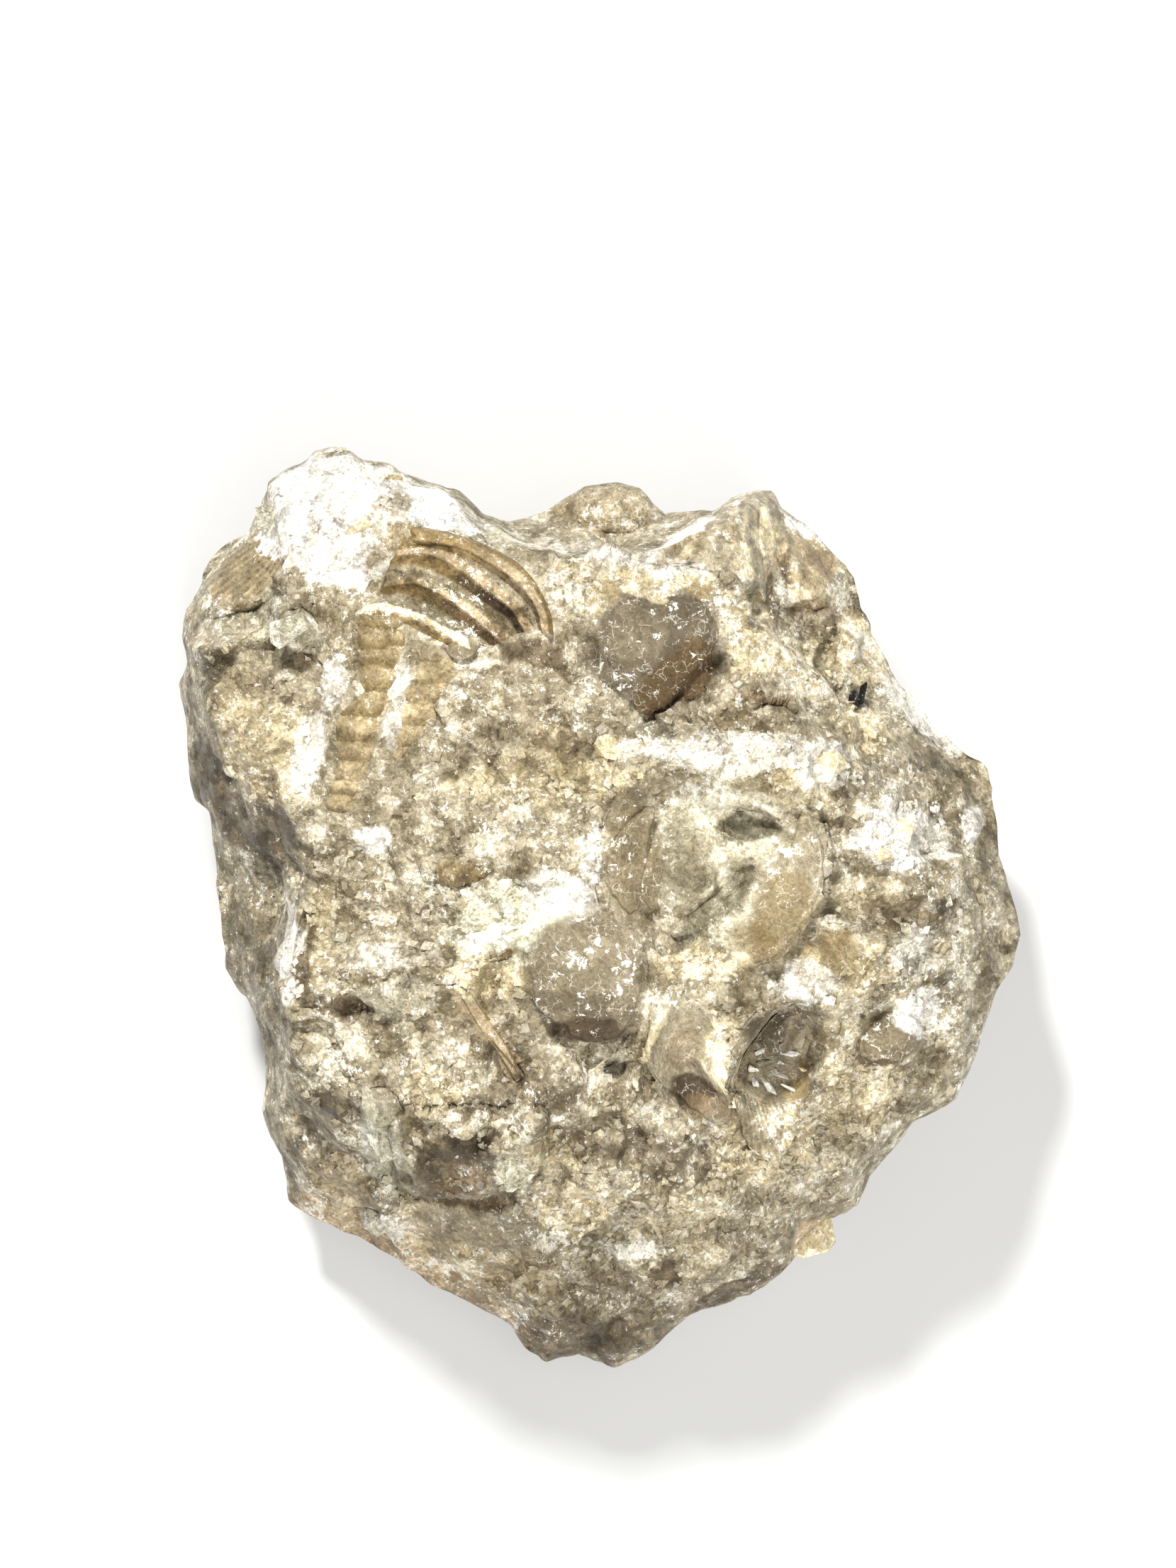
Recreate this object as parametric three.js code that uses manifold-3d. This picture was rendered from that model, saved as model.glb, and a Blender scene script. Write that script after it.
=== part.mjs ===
// A loose lump of coarse, sparry limestone with part of a trilobite and several
// brachiopod shells standing out of its upper face. The lump is one piece of
// rock: the fossils are cemented into it, so it is one solid.
//
// Millimetres, +Z up. The lump lies on a broad flat break in the plane z = 0,
// with the fossil face up, and the origin is under the middle of its outline.

import * as THREE from 'three';
import { mergeVertices } from 'three/addons/utils/BufferGeometryUtils.js';
import Module from 'manifold-3d';

const wasm = await Module();
wasm.setup();

// ---------------------------------------------------------------- dimensions

// The rim: the widest line of the lump seen from above, counter-clockwise.
const RIM = [
  [36.8, 2], [35.8, 5], [35.8, 8.5], [35, 13], [32, 15.5], [29, 19.5],
  [27.5, 20.5], [25.7, 23.5], [23.2, 27], [22.7, 30.2], [19.2, 34], [16.2, 36.4],
  [15.6, 38], [14, 38.2], [11.8, 37.5], [10, 36.3], [5.7, 36.2], [3.5, 38.5],
  [1.5, 39], [-1.5, 38.6], [-3, 37.8], [-5, 36.4], [-8.5, 35.6], [-11, 36],
  [-13.5, 38.3], [-17, 39.6], [-19.5, 40.5], [-22, 41], [-23, 42], [-26, 41.7],
  [-27, 40.6], [-30.5, 39.2], [-30.6, 37], [-32, 34.7], [-34.5, 32.6],
  [-36.5, 30], [-38, 27.4], [-38.4, 25], [-38, 22.6], [-38.5, 20.7],
  [-37.8, 17.7], [-38, 13.8], [-37.6, 10], [-36.2, 9], [-35.8, 6], [-35, 2],
  [-35, -2.5], [-34.7, -5.5], [-32.7, -8], [-31.2, -11.5], [-30.8, -16],
  [-31, -18.7], [-29.2, -24.2], [-28.7, -27], [-22.7, -30.7], [-17.2, -34],
  [-12.3, -36.3], [-8.3, -38.7], [-7, -41.2], [-5, -42.2], [-2, -41.2],
  [1.3, -42.2], [4.7, -40.6], [9, -37], [13.8, -35.9], [16.5, -33.5],
  [18.5, -30.5], [21.5, -27.5], [23.4, -26.8], [24.2, -24], [28.3, -19.3],
  [32, -17], [33.7, -13.3], [34.3, -11], [35.7, -6.5], [37, -4.7],
  [37.6, -2],
];

// Height of the rim above the flat underside: [direction in degrees, height].
const RIM_HEIGHT = [
  [0, 20], [25, 16], [45, 17], [65, 20], [80, 13], [92, 15], [105, 11],
  [120, 15], [140, 12], [165, 9], [182, 11], [200, 8], [225, 10], [245, 10],
  [262, 7], [280, 9], [300, 12], [320, 15], [340, 21], [360, 20],
];

// Corners of the flat break that the lump lies on, counter-clockwise.
const BASE = [
  [30, 9], [23, 20], [7, 30], [-13, 32], [-29, 23], [-29.5, 4],
  [-24, -18], [-9, -33], [11, -30], [23, -18], [30.5, -6],
];

// The top of the lump is a low dome, broken away by flat faces.
const DOME = { at: [0, -4], height: 39.5, fall: 0.0045 };

// Each break is one flat face or two that meet in a corner. at: a point on the
// face; downhill: direction in degrees; fall: mm per mm.
const BREAKS = [
  [{ at: [-24, 37, 32], downhill: 125, fall: 2.2 }], // behind the white spar
  [ // upper left side, steep, with a re-entrant corner
    { at: [-29, 11, 34], downhill: 209, fall: 2.5 },
    { at: [-26, 0.5, 34], downhill: 172, fall: 2.6 },
  ],
  [ // lower left side
    { at: [-28, -4, 33], downhill: 185, fall: 3.2 },
    { at: [-26, -14, 30], downhill: 205, fall: 1.6 },
  ],
  [{ at: [-28.5, -27, 12], downhill: 241, fall: 1.75 }], // flat striated break
  [{ at: [0, -18, 36.5], downhill: 282, fall: 0.95 }], // front slope
  [{ at: [14, -14, 35], downhill: -48, fall: 0.75 }], // front right slope
  [{ at: [28, 5.7, 31], downhill: 5, fall: 1 }], // right slope
  [{ at: [19.6, 34.5, 15], downhill: 35, fall: 1.8 }], // back right slope
];
const BREAK_BLEND = 1.1;

// Shells, lumps and hollows on the top: a rounded patch of half sizes `size`,
// turned by `turn` degrees and `rise` high. A low `power` gives a crisp edge, a
// high one a soft edge. `corners` is 2 for an ellipse, more for a squarer patch.
const FORMS = [
  { at: [-0.5, 38.5], size: [9.5, 7.2], turn: 0, rise: -14, power: 0.7, corners: 3 }, // back valley
  { at: [1.6, 38.5], size: [5.4, 4.6], turn: 0, rise: 9, power: 0.8, corners: 2 }, // far hump
  { at: [-35, 31], size: [7, 7.5], turn: 20, rise: -8, power: 0.5, corners: 2 }, // left terrace
  { at: [-32.3, 30.6], size: [5.6, 3.8], turn: 35, rise: 2.6, power: 0.6, corners: 2 }, // striated shell
  { at: [-31.5, 21.5], size: [4.6, 2.4], turn: 15, rise: -2, power: 0.7, corners: 2 }, // gap below it
  { at: [-26.7, 24.5], size: [2, 1.7], turn: 0, rise: 2, power: 0.5, corners: 2 }, // grey knob
  { at: [-22, 34.5], size: [7.5, 5], turn: -20, rise: 1.8, power: 0.8, corners: 2 }, // white spar
  { at: [-14, 27.5], size: [8.5, 5.5], turn: -35, rise: -1.2, power: 0.6, corners: 2 }, // ribbed flank
  { at: [4.9, 25.6], size: [4.9, 6.3], turn: 8, rise: 3.2, power: 0.5, corners: 2 }, // domed shell
  { at: [13, 33], size: [5, 7], turn: -25, rise: 4.2, power: 1, corners: 2 }, // folded shell
  { at: [19.3, 31.5], size: [3.4, 5], turn: 25, rise: 4, power: 0.7, corners: 2 }, // its right lobe
  { at: [9.2, 4.8], size: [9.4, 7.6], turn: -8, rise: -3.4, power: 0.8, corners: 2.6 }, // hollow valve
  { at: [12.6, 8.2], size: [3.1, 1.6], turn: -10, rise: -1.6, power: 0.7, corners: 2 }, // pit in it
  { at: [-6.5, 0.8], size: [5.8, 3.4], turn: -25, rise: 1.6, power: 0.5, corners: 3 }, // yellow spar
  { at: [-1.4, -4.8], size: [4.8, 5.9], turn: 22, rise: 2.2, power: 0.45, corners: 2 }, // centre shell
  { at: [6.8, -11.2], size: [3.6, 5.2], turn: 20, rise: -2.6, power: 0.7, corners: 2 }, // cup shell
  { at: [14.5, -12], size: [3.2, 4.6], turn: 0, rise: -7.5, power: 0.6, corners: 2 }, // cavity
  { at: [25.5, -11], size: [2.8, 2.8], turn: 0, rise: 1.6, power: 0.5, corners: 2 }, // small shell
  { at: [-11.5, -20.5], size: [6.8, 4.2], turn: 0, rise: 3.2, power: 0.3, corners: 5 }, // brown ledge
  { at: [-19, -18], size: [2, 3.6], turn: -5, rise: 1.6, power: 0.6, corners: 2 }, // grey crystals
  { at: [-18, -7], size: [4, 6], turn: 10, rise: 1.2, power: 1.2, corners: 2 }, // left swelling
  { at: [1, -24], size: [6, 4.5], turn: 20, rise: 1.2, power: 1.5, corners: 2 }, // front swelling
  { at: [9, -30], size: [4.5, 3], turn: -20, rise: 1.4, power: 1.2, corners: 2 }, // front swelling
  { at: [27, 3], size: [5, 6], turn: 0, rise: 1.2, power: 1.5, corners: 2 }, // right swelling
];

// Raised lines on the top: `points` along the crest, half `width` and `rise`.
const CRESTS = [
  { points: [[14.6, 37.2], [10.5, 35.4], [6, 33.2], [1, 31.4]], width: 2.2, rise: 3.4 },
  { points: [[1.5, 13], [7, 14.2], [13, 13.6], [19, 12.4]], width: 1.9, rise: 1.3 },
  { points: [[2, 8.5], [1.6, 4], [3.6, -1.5]], width: 1.3, rise: 0.8 },
  { points: [[19.5, 8], [19, 2], [14.5, -3]], width: 1.5, rise: 0.9 },
  { points: [[12.5, -9.5], [15.8, -6.8], [19.5, -7.6]], width: 1.5, rise: 1.8 },
  { points: [[3.4, -12.5], [4.6, -9.5], [6, -7]], width: 0.9, rise: 1.2 },
  { points: [[9.5, -13], [11, -15.5], [11.6, -18]], width: 0.9, rise: 1.8 },
  { points: [[-26, 0.8], [-27, -3.2], [-27.2, -6.5]], width: 1, rise: 1.6 },
  { points: [[-19.3, 25.6], [-21, 17], [-22.8, 9.6]], width: 2.3, rise: 0.9 },
];

// The trilobite: ribs of one flank, then the banded axis beside them.
const RIBS = [
  [[-17.6, 33], [-14.6, 32.9], [-12.1, 32.2], [-9.1, 31], [-7, 29.4], [-5.6, 27.6], [-4.8, 25.4]],
  [[-18.4, 31.6], [-15, 32], [-12.8, 31], [-10.6, 29.7], [-8.8, 28.2], [-7, 26.8], [-5.6, 25]],
  [[-19.3, 29.3], [-16.4, 29.2], [-14, 28.4], [-12.1, 27.3], [-10.6, 26.2], [-9, 24.6], [-8, 23.4]],
  [[-20.6, 26.6], [-17.8, 26.6], [-15.8, 25.8], [-14, 24.8], [-12.4, 23.8]],
  [[-17, 22.9], [-15.4, 22.2], [-13.4, 21], [-11.4, 19.6]],
];
const RIB_RADIUS = [1.15, 0.75, 0.8, 0.65, 0.5];
const RIB_LIFT = 0.1;
const RIB_SIDES = 6;
const RIB_STEPS = 10;

// Rings across the axis, and the short pleura beside some of them.
const AXIS = { from: [-19.3, 25.2], to: [-22.7, 9.6], rings: 9 };
const RING = { widths: [4.6, 2.6], thick: 1.5, rise: 0.85 };
const PLEURA = { length: 3.4, thick: 1.5, rise: 0.6, offset: 3.9, firstRing: 1, lastRing: 5 };
const BAR_SINK = 0.5;
const BAR_SIDES = [10, 6];

// The thin flake that sticks out low at the front right.
const FLAKE = {
  outline: [[14, -28], [21.6, -27], [21.7, -30], [20.9, -32.9], [17.2, -32.6], [14, -31]],
  bottom: 11.6,
  thick: 2.6,
};

// Crystals of spar: [x, y, size, turn in degrees]. Each is a calcite rhomb.
const CRYSTALS = [
  [-25.5, 37, 3.6, 10], [-20.5, 37.2, 3.4, 50], [-28.5, 34.6, 3, 75], [-16.5, 36, 3, 20],
  [-23.5, 32.4, 2.8, 35], [-10.5, 21.5, 2, 65], [-26.5, 24.6, 2.4, 25], [-8.8, 1.8, 3, 15],
  [-4.8, 2.6, 2.6, 60], [-18.5, -8.5, 3, 30], [-19, -16.5, 2.8, 80], [-19.4, -19.8, 2.4, 5],
  [-9.5, -12.5, 2.6, 45], [15, 3.5, 2.2, 70], [20.5, 14.5, 2.4, 40], [29.5, -2, 2.8, 12],
  [24, -16.5, 2.6, 55], [3, -16.5, 2.6, 22], [-3, -29, 2.8, 68], [8.5, -25, 2.6, 33],
  [-14, 4.5, 2.2, 18], [-14.5, 14, 2, 52],
];
const RHOMB = { sides: [1, 0.85, 0.75], shear: [0.25, 0.2, 0, 0.15, 0.1, 0], pitch: 28, roll: 0.4 };
const CRYSTAL_SINK = 0.17;

// Mesh of the lump: rings over the top, each with eight more points than the
// last, then rings down the sides to the flat underside.
const TOP_RINGS = 23;
const SIDE_RINGS = 4;
const SIDE_BULGE = 1.55;
const SIDE_DROP = 0.82;
const BASE_CLEARANCE = 0.5;
const RIM_ROUNDING = 14;
const RIM_FULLNESS = 0.6;
const SLOPE_STEPS = 40;
const SLOPE_WEIGHT = 0.3;

// Rough broken surface: flat chips of two sizes, each tilted its own way.
const CHIPS = [
  { size: 9.5, tilt: 0.14, step: 0.5 },
  { size: 4.2, tilt: 0.22, step: 0.32 },
];
const CHIP_SEED = 7;
const SCATTER = { turns: [127.1, 311.7, 74.7, 53.3], scale: 43758.5453 };
const SHELL_POWER = 0.5; // forms this crisp are shells, and smoother than the rock
const SHELL_CHIPS = 0.15;

// Patches round the trilobite that are as smooth as the shells.
const SMOOTH_PATCHES = [
  { at: [-13, 28], size: [11, 7.5], turn: -30, corners: 2 },
  { at: [-20, 17], size: [5, 11], turn: -10, corners: 3 },
];

const STONE_COLOUR = '#c2b497';
const MESH_GRID = 0.001;

// ------------------------------------------------------------------- helpers

const radians = THREE.MathUtils.degToRad;

function mix(a, b, share) {
  return a + (b - a) * share;
}

// A repeatable random number from 0 to 1 for whole numbers i, j, k and a channel.
function scatter(i, j, k, channel) {
  const [a, b, c, d] = SCATTER.turns;
  const wave = SCATTER.scale * Math.sin(i * a + j * b + k * c + channel * d + CHIP_SEED);
  return wave - Math.floor(wave);
}

// Distance from the origin to a closed outline, in the direction `angle`.
function reach(outline, angle) {
  const dx = Math.cos(angle);
  const dy = Math.sin(angle);
  let best = 0;
  outline.forEach(([ax, ay], i) => {
    const [bx, by] = outline[(i + 1) % outline.length];
    const across = dx * (by - ay) - dy * (bx - ax);
    const distance = (ax * (by - ay) - ay * (bx - ax)) / across;
    const share = (ax * dy - ay * dx) / across;
    if (distance > 0 && share >= 0 && share <= 1) {
      best = Math.max(best, distance);
    }
  });
  return best;
}

function rimHeight(angle) {
  const degrees = (THREE.MathUtils.radToDeg(angle) + 360) % 360;
  const next = RIM_HEIGHT.findIndex(([direction]) => direction >= degrees);
  const [d1, z1] = RIM_HEIGHT[Math.max(next, 1) - 1];
  const [d2, z2] = RIM_HEIGHT[Math.max(next, 1)];
  return mix(z1, z2, (degrees - d1) / (d2 - d1));
}

// 0 in the middle of a form and 1 on its edge.
function formShare(form, x, y) {
  const turn = radians(form.turn);
  const dx = x - form.at[0];
  const dy = y - form.at[1];
  const along = (dx * Math.cos(turn) + dy * Math.sin(turn)) / form.size[0];
  const across = (dy * Math.cos(turn) - dx * Math.sin(turn)) / form.size[1];
  return Math.abs(along) ** form.corners + Math.abs(across) ** form.corners;
}

function crestRise(crest, x, y) {
  let nearest = Infinity;
  for (let i = 0; i + 1 < crest.points.length; i += 1) {
    const [ax, ay] = crest.points[i];
    const [bx, by] = crest.points[i + 1];
    const lengthSquared = (bx - ax) ** 2 + (by - ay) ** 2;
    const along = ((x - ax) * (bx - ax) + (y - ay) * (by - ay)) / lengthSquared;
    const share = THREE.MathUtils.clamp(along, 0, 1);
    const gap = Math.hypot(x - mix(ax, bx, share), y - mix(ay, by, share));
    nearest = Math.min(nearest, gap);
  }
  const share = nearest / crest.width;
  return crest.rise * Math.exp(-share * share);
}

function faceHeight(face, x, y) {
  const downhill = radians(face.downhill);
  const run = (x - face.at[0]) * Math.cos(downhill) + (y - face.at[1]) * Math.sin(downhill);
  return face.at[2] - face.fall * run;
}

// Height of the dome where the breaks have cut it away.
function bodyHeight(x, y) {
  const fromCentre = (x - DOME.at[0]) ** 2 + (y - DOME.at[1]) ** 2;
  let sum = Math.exp(-(DOME.height - DOME.fall * fromCentre) / BREAK_BLEND);
  for (const faces of BREAKS) {
    const height = Math.max(...faces.map((face) => faceHeight(face, x, y)));
    sum += Math.exp(-height / BREAK_BLEND);
  }
  return -BREAK_BLEND * Math.log(sum);
}

// Height of the shells, lumps and hollows above the body.
function formHeight(x, y) {
  let height = 0;
  for (const form of FORMS) {
    const left = 1 - formShare(form, x, y);
    height += left > 0 ? form.rise * left ** form.power : 0;
  }
  for (const crest of CRESTS) {
    height += crestRise(crest, x, y);
  }
  return height;
}

// Height rounded over towards the rim, which lies at `radius` in this direction.
function roundedHeight(x, y, radius, height) {
  const rim = rimHeight(Math.atan2(y, x));
  const share = Math.min(Math.hypot(x, y) / radius, 1);
  return rim + (height - rim) * (1 - share ** RIM_ROUNDING) ** RIM_FULLNESS;
}

// Height of the finished top.
function surfaceHeight(x, y) {
  const radius = reach(RIM, Math.atan2(y, x));
  return roundedHeight(x, y, radius, bodyHeight(x, y) + formHeight(x, y));
}

// Radius of a mesh ring: rings lie evenly along the slope from the middle to the
// rim, so that steep faces get as many as level ones.
function ringRadius(angle, share) {
  const radius = reach(RIM, angle);
  const lengths = [0];
  let lastHeight = bodyHeight(0, 0);
  for (let step = 1; step <= SLOPE_STEPS; step += 1) {
    const out = (radius * step) / SLOPE_STEPS;
    const x = out * Math.cos(angle);
    const y = out * Math.sin(angle);
    const height = roundedHeight(x, y, radius, bodyHeight(x, y));
    const rise = (height - lastHeight) * SLOPE_WEIGHT;
    lengths.push(lengths[step - 1] + Math.hypot(radius / SLOPE_STEPS, rise));
    lastHeight = height;
  }
  const wanted = share * lengths[SLOPE_STEPS];
  const next = Math.max(lengths.findIndex((length) => length >= wanted), 1);
  const part = (wanted - lengths[next - 1]) / (lengths[next] - lengths[next - 1]);
  return (radius * (next - 1 + part)) / SLOPE_STEPS;
}

// Offset of the broken surface at a point: the tilt and step of its nearest chip.
function chipOffset(point, chips) {
  const cell = point.clone().divideScalar(chips.size).floor();
  let nearest = Infinity;
  let offset = 0;
  for (let n = 0; n < 27; n += 1) {
    const i = cell.x + (n % 3) - 1;
    const j = cell.y + (Math.floor(n / 3) % 3) - 1;
    const k = cell.z + Math.floor(n / 9) - 1;
    const random = (channel) => scatter(i, j, k, channel);
    const seed = new THREE.Vector3(i + random(1), j + random(2), k + random(3));
    const away = point.clone().sub(seed.multiplyScalar(chips.size));
    if (away.length() < nearest) {
      nearest = away.length();
      const tilt = new THREE.Vector3(random(4), random(5), random(6)).subScalar(0.5);
      offset = 2 * (away.dot(tilt) * chips.tilt + (random(7) - 0.5) * chips.step);
    }
  }
  return offset;
}

// Share of the rough surface left at a point: the fossils stay smooth.
function roughness(x, y) {
  const shells = FORMS.filter((form) => form.power <= SHELL_POWER);
  const smooth = [...shells, ...SMOOTH_PATCHES].some((patch) => formShare(patch, x, y) < 1);
  return smooth ? SHELL_CHIPS : 1;
}

// ------------------------------------------------------------------ the lump

// Joins a ring of `inner` points to a ring of `outer` points with triangles.
function stitch(faces, innerStart, innerCount, outerStart, outerCount) {
  let i = 0;
  let j = 0;
  while (i < innerCount || j < outerCount) {
    const a = innerStart + (i % innerCount);
    const b = outerStart + (j % outerCount);
    if ((j + 0.5) / outerCount <= (i + 0.5) / innerCount && j < outerCount) {
      faces.push(a, b, outerStart + ((j + 1) % outerCount));
      j += 1;
    } else {
      faces.push(a, b, innerStart + ((i + 1) % innerCount));
      i += 1;
    }
  }
}

function lumpGeometry() {
  const points = [];
  const faces = [];
  const rimCount = 8 * TOP_RINGS;
  points.push(new THREE.Vector3(0, 0, surfaceHeight(0, 0)));
  let lastStart = 0;
  let lastCount = 1;

  const addRing = (count, place) => {
    const start = points.length;
    for (let i = 0; i < count; i += 1) {
      points.push(place((2 * Math.PI * i) / count));
    }
    stitch(faces, lastStart, lastCount, start, count);
    lastStart = start;
    lastCount = count;
  };

  for (let ring = 1; ring <= TOP_RINGS; ring += 1) {
    addRing(8 * ring, (angle) => {
      const radius = ringRadius(angle, ring / TOP_RINGS);
      const x = radius * Math.cos(angle);
      const y = radius * Math.sin(angle);
      return new THREE.Vector3(x, y, surfaceHeight(x, y));
    });
  }
  for (let ring = 1; ring <= SIDE_RINGS; ring += 1) {
    const share = ring / SIDE_RINGS;
    addRing(rimCount, (angle) => {
      const radius = mix(reach(RIM, angle), reach(BASE, angle), share ** SIDE_BULGE);
      const height = rimHeight(angle) * (1 - share) ** SIDE_DROP;
      return new THREE.Vector3(radius * Math.cos(angle), radius * Math.sin(angle), height);
    });
  }
  const baseStart = lastStart;
  addRing(1, () => new THREE.Vector3(0, 0, 0));

  const geometry = new THREE.BufferGeometry().setFromPoints(points);
  geometry.setIndex(faces);
  geometry.computeVertexNormals();
  const position = geometry.getAttribute('position');
  const normal = geometry.getAttribute('normal');
  for (let i = 0; i < baseStart; i += 1) {
    const point = new THREE.Vector3().fromBufferAttribute(position, i);
    const offset = CHIPS.reduce((sum, chips) => sum + chipOffset(point, chips), 0);
    const push = offset * roughness(point.x, point.y);
    point.addScaledVector(new THREE.Vector3().fromBufferAttribute(normal, i), push);
    position.setXYZ(i, point.x, point.y, Math.max(point.z, BASE_CLEARANCE));
  }
  return geometry;
}

// ------------------------------------------------- the fossils standing out

// A curve over the rock through points in plan, `lift` above its surface.
function curveOnRock(points, lift) {
  return new THREE.CatmullRomCurve3(
    points.map(([x, y]) => new THREE.Vector3(x, y, surfaceHeight(x, y) + lift)),
  );
}

function roundSection(radius) {
  const section = new THREE.Shape();
  for (let i = 0; i < RIB_SIDES; i += 1) {
    const angle = (2 * Math.PI * i) / RIB_SIDES;
    const [x, y] = [radius * Math.cos(angle), radius * Math.sin(angle)];
    if (i === 0) {
      section.moveTo(x, y);
    } else {
      section.lineTo(x, y);
    }
  }
  return section;
}

function ribGeometries() {
  return RIBS.map((points, i) => new THREE.ExtrudeGeometry(roundSection(RIB_RADIUS[i]), {
    steps: RIB_STEPS,
    extrudePath: curveOnRock(points, RIB_LIFT),
    bevelEnabled: false,
  }));
}

// A rounded bar lying half sunk in the rock, turned by `turn` radians.
function barGeometry(x, y, length, bar, turn) {
  const geometry = new THREE.SphereGeometry(0.5, ...BAR_SIDES);
  geometry.scale(length, bar.thick, 2 * (bar.rise + BAR_SINK));
  geometry.rotateZ(turn);
  geometry.translate(x, y, surfaceHeight(x, y) - BAR_SINK);
  return geometry;
}

function axisGeometries() {
  const bars = [];
  const dx = AXIS.to[0] - AXIS.from[0];
  const dy = AXIS.to[1] - AXIS.from[1];
  const turn = Math.atan2(dx, -dy);
  for (let ring = 0; ring < AXIS.rings; ring += 1) {
    const share = ring / (AXIS.rings - 1);
    const x = AXIS.from[0] + dx * share;
    const y = AXIS.from[1] + dy * share;
    bars.push(barGeometry(x, y, mix(...RING.widths, share), RING, turn));
    if (ring >= PLEURA.firstRing && ring <= PLEURA.lastRing) {
      const sideX = x + PLEURA.offset * Math.cos(turn);
      const sideY = y + PLEURA.offset * Math.sin(turn);
      bars.push(barGeometry(sideX, sideY, PLEURA.length, PLEURA, turn));
    }
  }
  return bars;
}

function flakeGeometry() {
  const outline = new THREE.Shape(FLAKE.outline.map(([x, y]) => new THREE.Vector2(x, y)));
  const geometry = new THREE.ExtrudeGeometry(outline, { depth: FLAKE.thick, bevelEnabled: false });
  geometry.translate(0, 0, FLAKE.bottom);
  return geometry;
}

// A rhomb of spar stood askew, part sunk in the rock.
function crystalGeometry([x, y, size, turn]) {
  const geometry = new THREE.BoxGeometry(...RHOMB.sides.map((side) => side * size));
  geometry.applyMatrix4(new THREE.Matrix4().makeShear(...RHOMB.shear));
  geometry.rotateX(radians(RHOMB.pitch));
  geometry.rotateY(radians(turn * RHOMB.roll));
  geometry.rotateZ(radians(turn));
  geometry.translate(x, y, surfaceHeight(x, y) - CRYSTAL_SINK * size);
  return geometry;
}

// -------------------------------------------------------------- one solid

function toSolid(geometry) {
  const bare = geometry.clone();
  bare.deleteAttribute('normal');
  if (bare.getAttribute('uv')) {
    bare.deleteAttribute('uv');
  }
  const merged = mergeVertices(bare, MESH_GRID);
  return new wasm.Manifold(new wasm.Mesh({
    numProp: 3,
    vertProperties: new Float32Array(merged.getAttribute('position').array),
    triVerts: new Uint32Array(merged.getIndex().array),
  }));
}

// The triangles of the largest closed surface: joining lumps to the rock can
// seal a small void under them, and the rock is solid there.
function outerSurface(triangles) {
  const leader = new Map();
  const find = (vertex) => {
    let top = vertex;
    while (leader.has(top)) {
      top = leader.get(top);
    }
    return top;
  };
  for (let i = 0; i < triangles.length; i += 3) {
    for (const other of [triangles[i + 1], triangles[i + 2]]) {
      const [a, b] = [find(triangles[i]), find(other)];
      if (a !== b) {
        leader.set(Math.max(a, b), Math.min(a, b));
      }
    }
  }
  const surfaces = new Map();
  for (let i = 0; i < triangles.length; i += 3) {
    const key = find(triangles[i]);
    surfaces.set(key, surfaces.get(key) ?? []);
    surfaces.get(key).push(triangles[i], triangles[i + 1], triangles[i + 2]);
  }
  return [...surfaces.values()].reduce((a, b) => (b.length > a.length ? b : a));
}

function toGeometry(solid) {
  const mesh = solid.getMesh();
  const geometry = new THREE.BufferGeometry();
  geometry.setAttribute('position', new THREE.BufferAttribute(mesh.vertProperties, 3));
  geometry.setIndex(outerSurface(mesh.triVerts));
  geometry.computeVertexNormals();
  return geometry;
}

const fossils = [
  ...ribGeometries(),
  ...axisGeometries(),
  flakeGeometry(),
  ...CRYSTALS.map(crystalGeometry),
];
const rock = fossils.reduce((solid, piece) => solid.add(toSolid(piece)), toSolid(lumpGeometry()));

const fossilRock = new THREE.Mesh(
  toGeometry(rock),
  new THREE.MeshStandardMaterial({ color: STONE_COLOUR, roughness: 0.85, metalness: 0 }),
);
fossilRock.name = 'fossil_rock';

const group = new THREE.Group();
group.add(fossilRock);

export default group;
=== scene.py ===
"""A lump of coarse, sparry limestone with part of a trilobite and several shells.

The lump lies on its flat back on a pale floor, seen from straight above. Places
and sizes in the tables are millimetres in the frame of the model: +X right and
+Y up the fossil face, +Z out of it. Meshes are made in metres.
"""
import math

import bmesh
import bpy
import numpy as np
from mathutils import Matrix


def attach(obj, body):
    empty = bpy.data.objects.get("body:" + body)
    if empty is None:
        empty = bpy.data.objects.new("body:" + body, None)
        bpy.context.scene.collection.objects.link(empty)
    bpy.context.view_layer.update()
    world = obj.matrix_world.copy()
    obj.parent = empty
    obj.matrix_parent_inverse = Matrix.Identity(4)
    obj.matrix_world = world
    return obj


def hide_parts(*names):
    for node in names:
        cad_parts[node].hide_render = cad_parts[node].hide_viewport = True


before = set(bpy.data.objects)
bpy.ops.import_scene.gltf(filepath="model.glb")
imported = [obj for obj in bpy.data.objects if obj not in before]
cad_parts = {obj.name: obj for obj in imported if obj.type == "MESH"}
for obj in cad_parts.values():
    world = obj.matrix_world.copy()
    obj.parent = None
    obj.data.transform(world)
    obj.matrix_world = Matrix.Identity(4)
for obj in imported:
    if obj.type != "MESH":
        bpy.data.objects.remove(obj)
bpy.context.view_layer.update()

MM = 0.001
NODE = "fossil_rock"

# ------------------------------------------------------------------- the view

CAMERA_AT = (-1.2, 11.5, 400.0)
FRAME_HEIGHT_SHARE = 0.37065  # height of the view as a share of the distance
SENSOR, CLIP_START = 36.0, 0.01

# Lights: place and size in metres, watts and colour.
LIGHTS = {
    "key": ((-0.13, 0.36, 0.47), 0.08, 4.8, (1, 1, 0.985)),
    "front": ((0.14, -0.34, 0.5), 0.35, 3.3, (1, 1, 0.985)),
    "fill": ((0.15, 0, 0.8), 0.5, 1.1, (1, 1, 1)),
}
SKY_COLOUR, SKY_STRENGTH = (1, 0.99, 0.96, 1), 0.3
FLOOR_HALF, FLOOR_ROUGHNESS = 3.0, 0.9

# --------------------------------------------------------------- shape of rock

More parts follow.
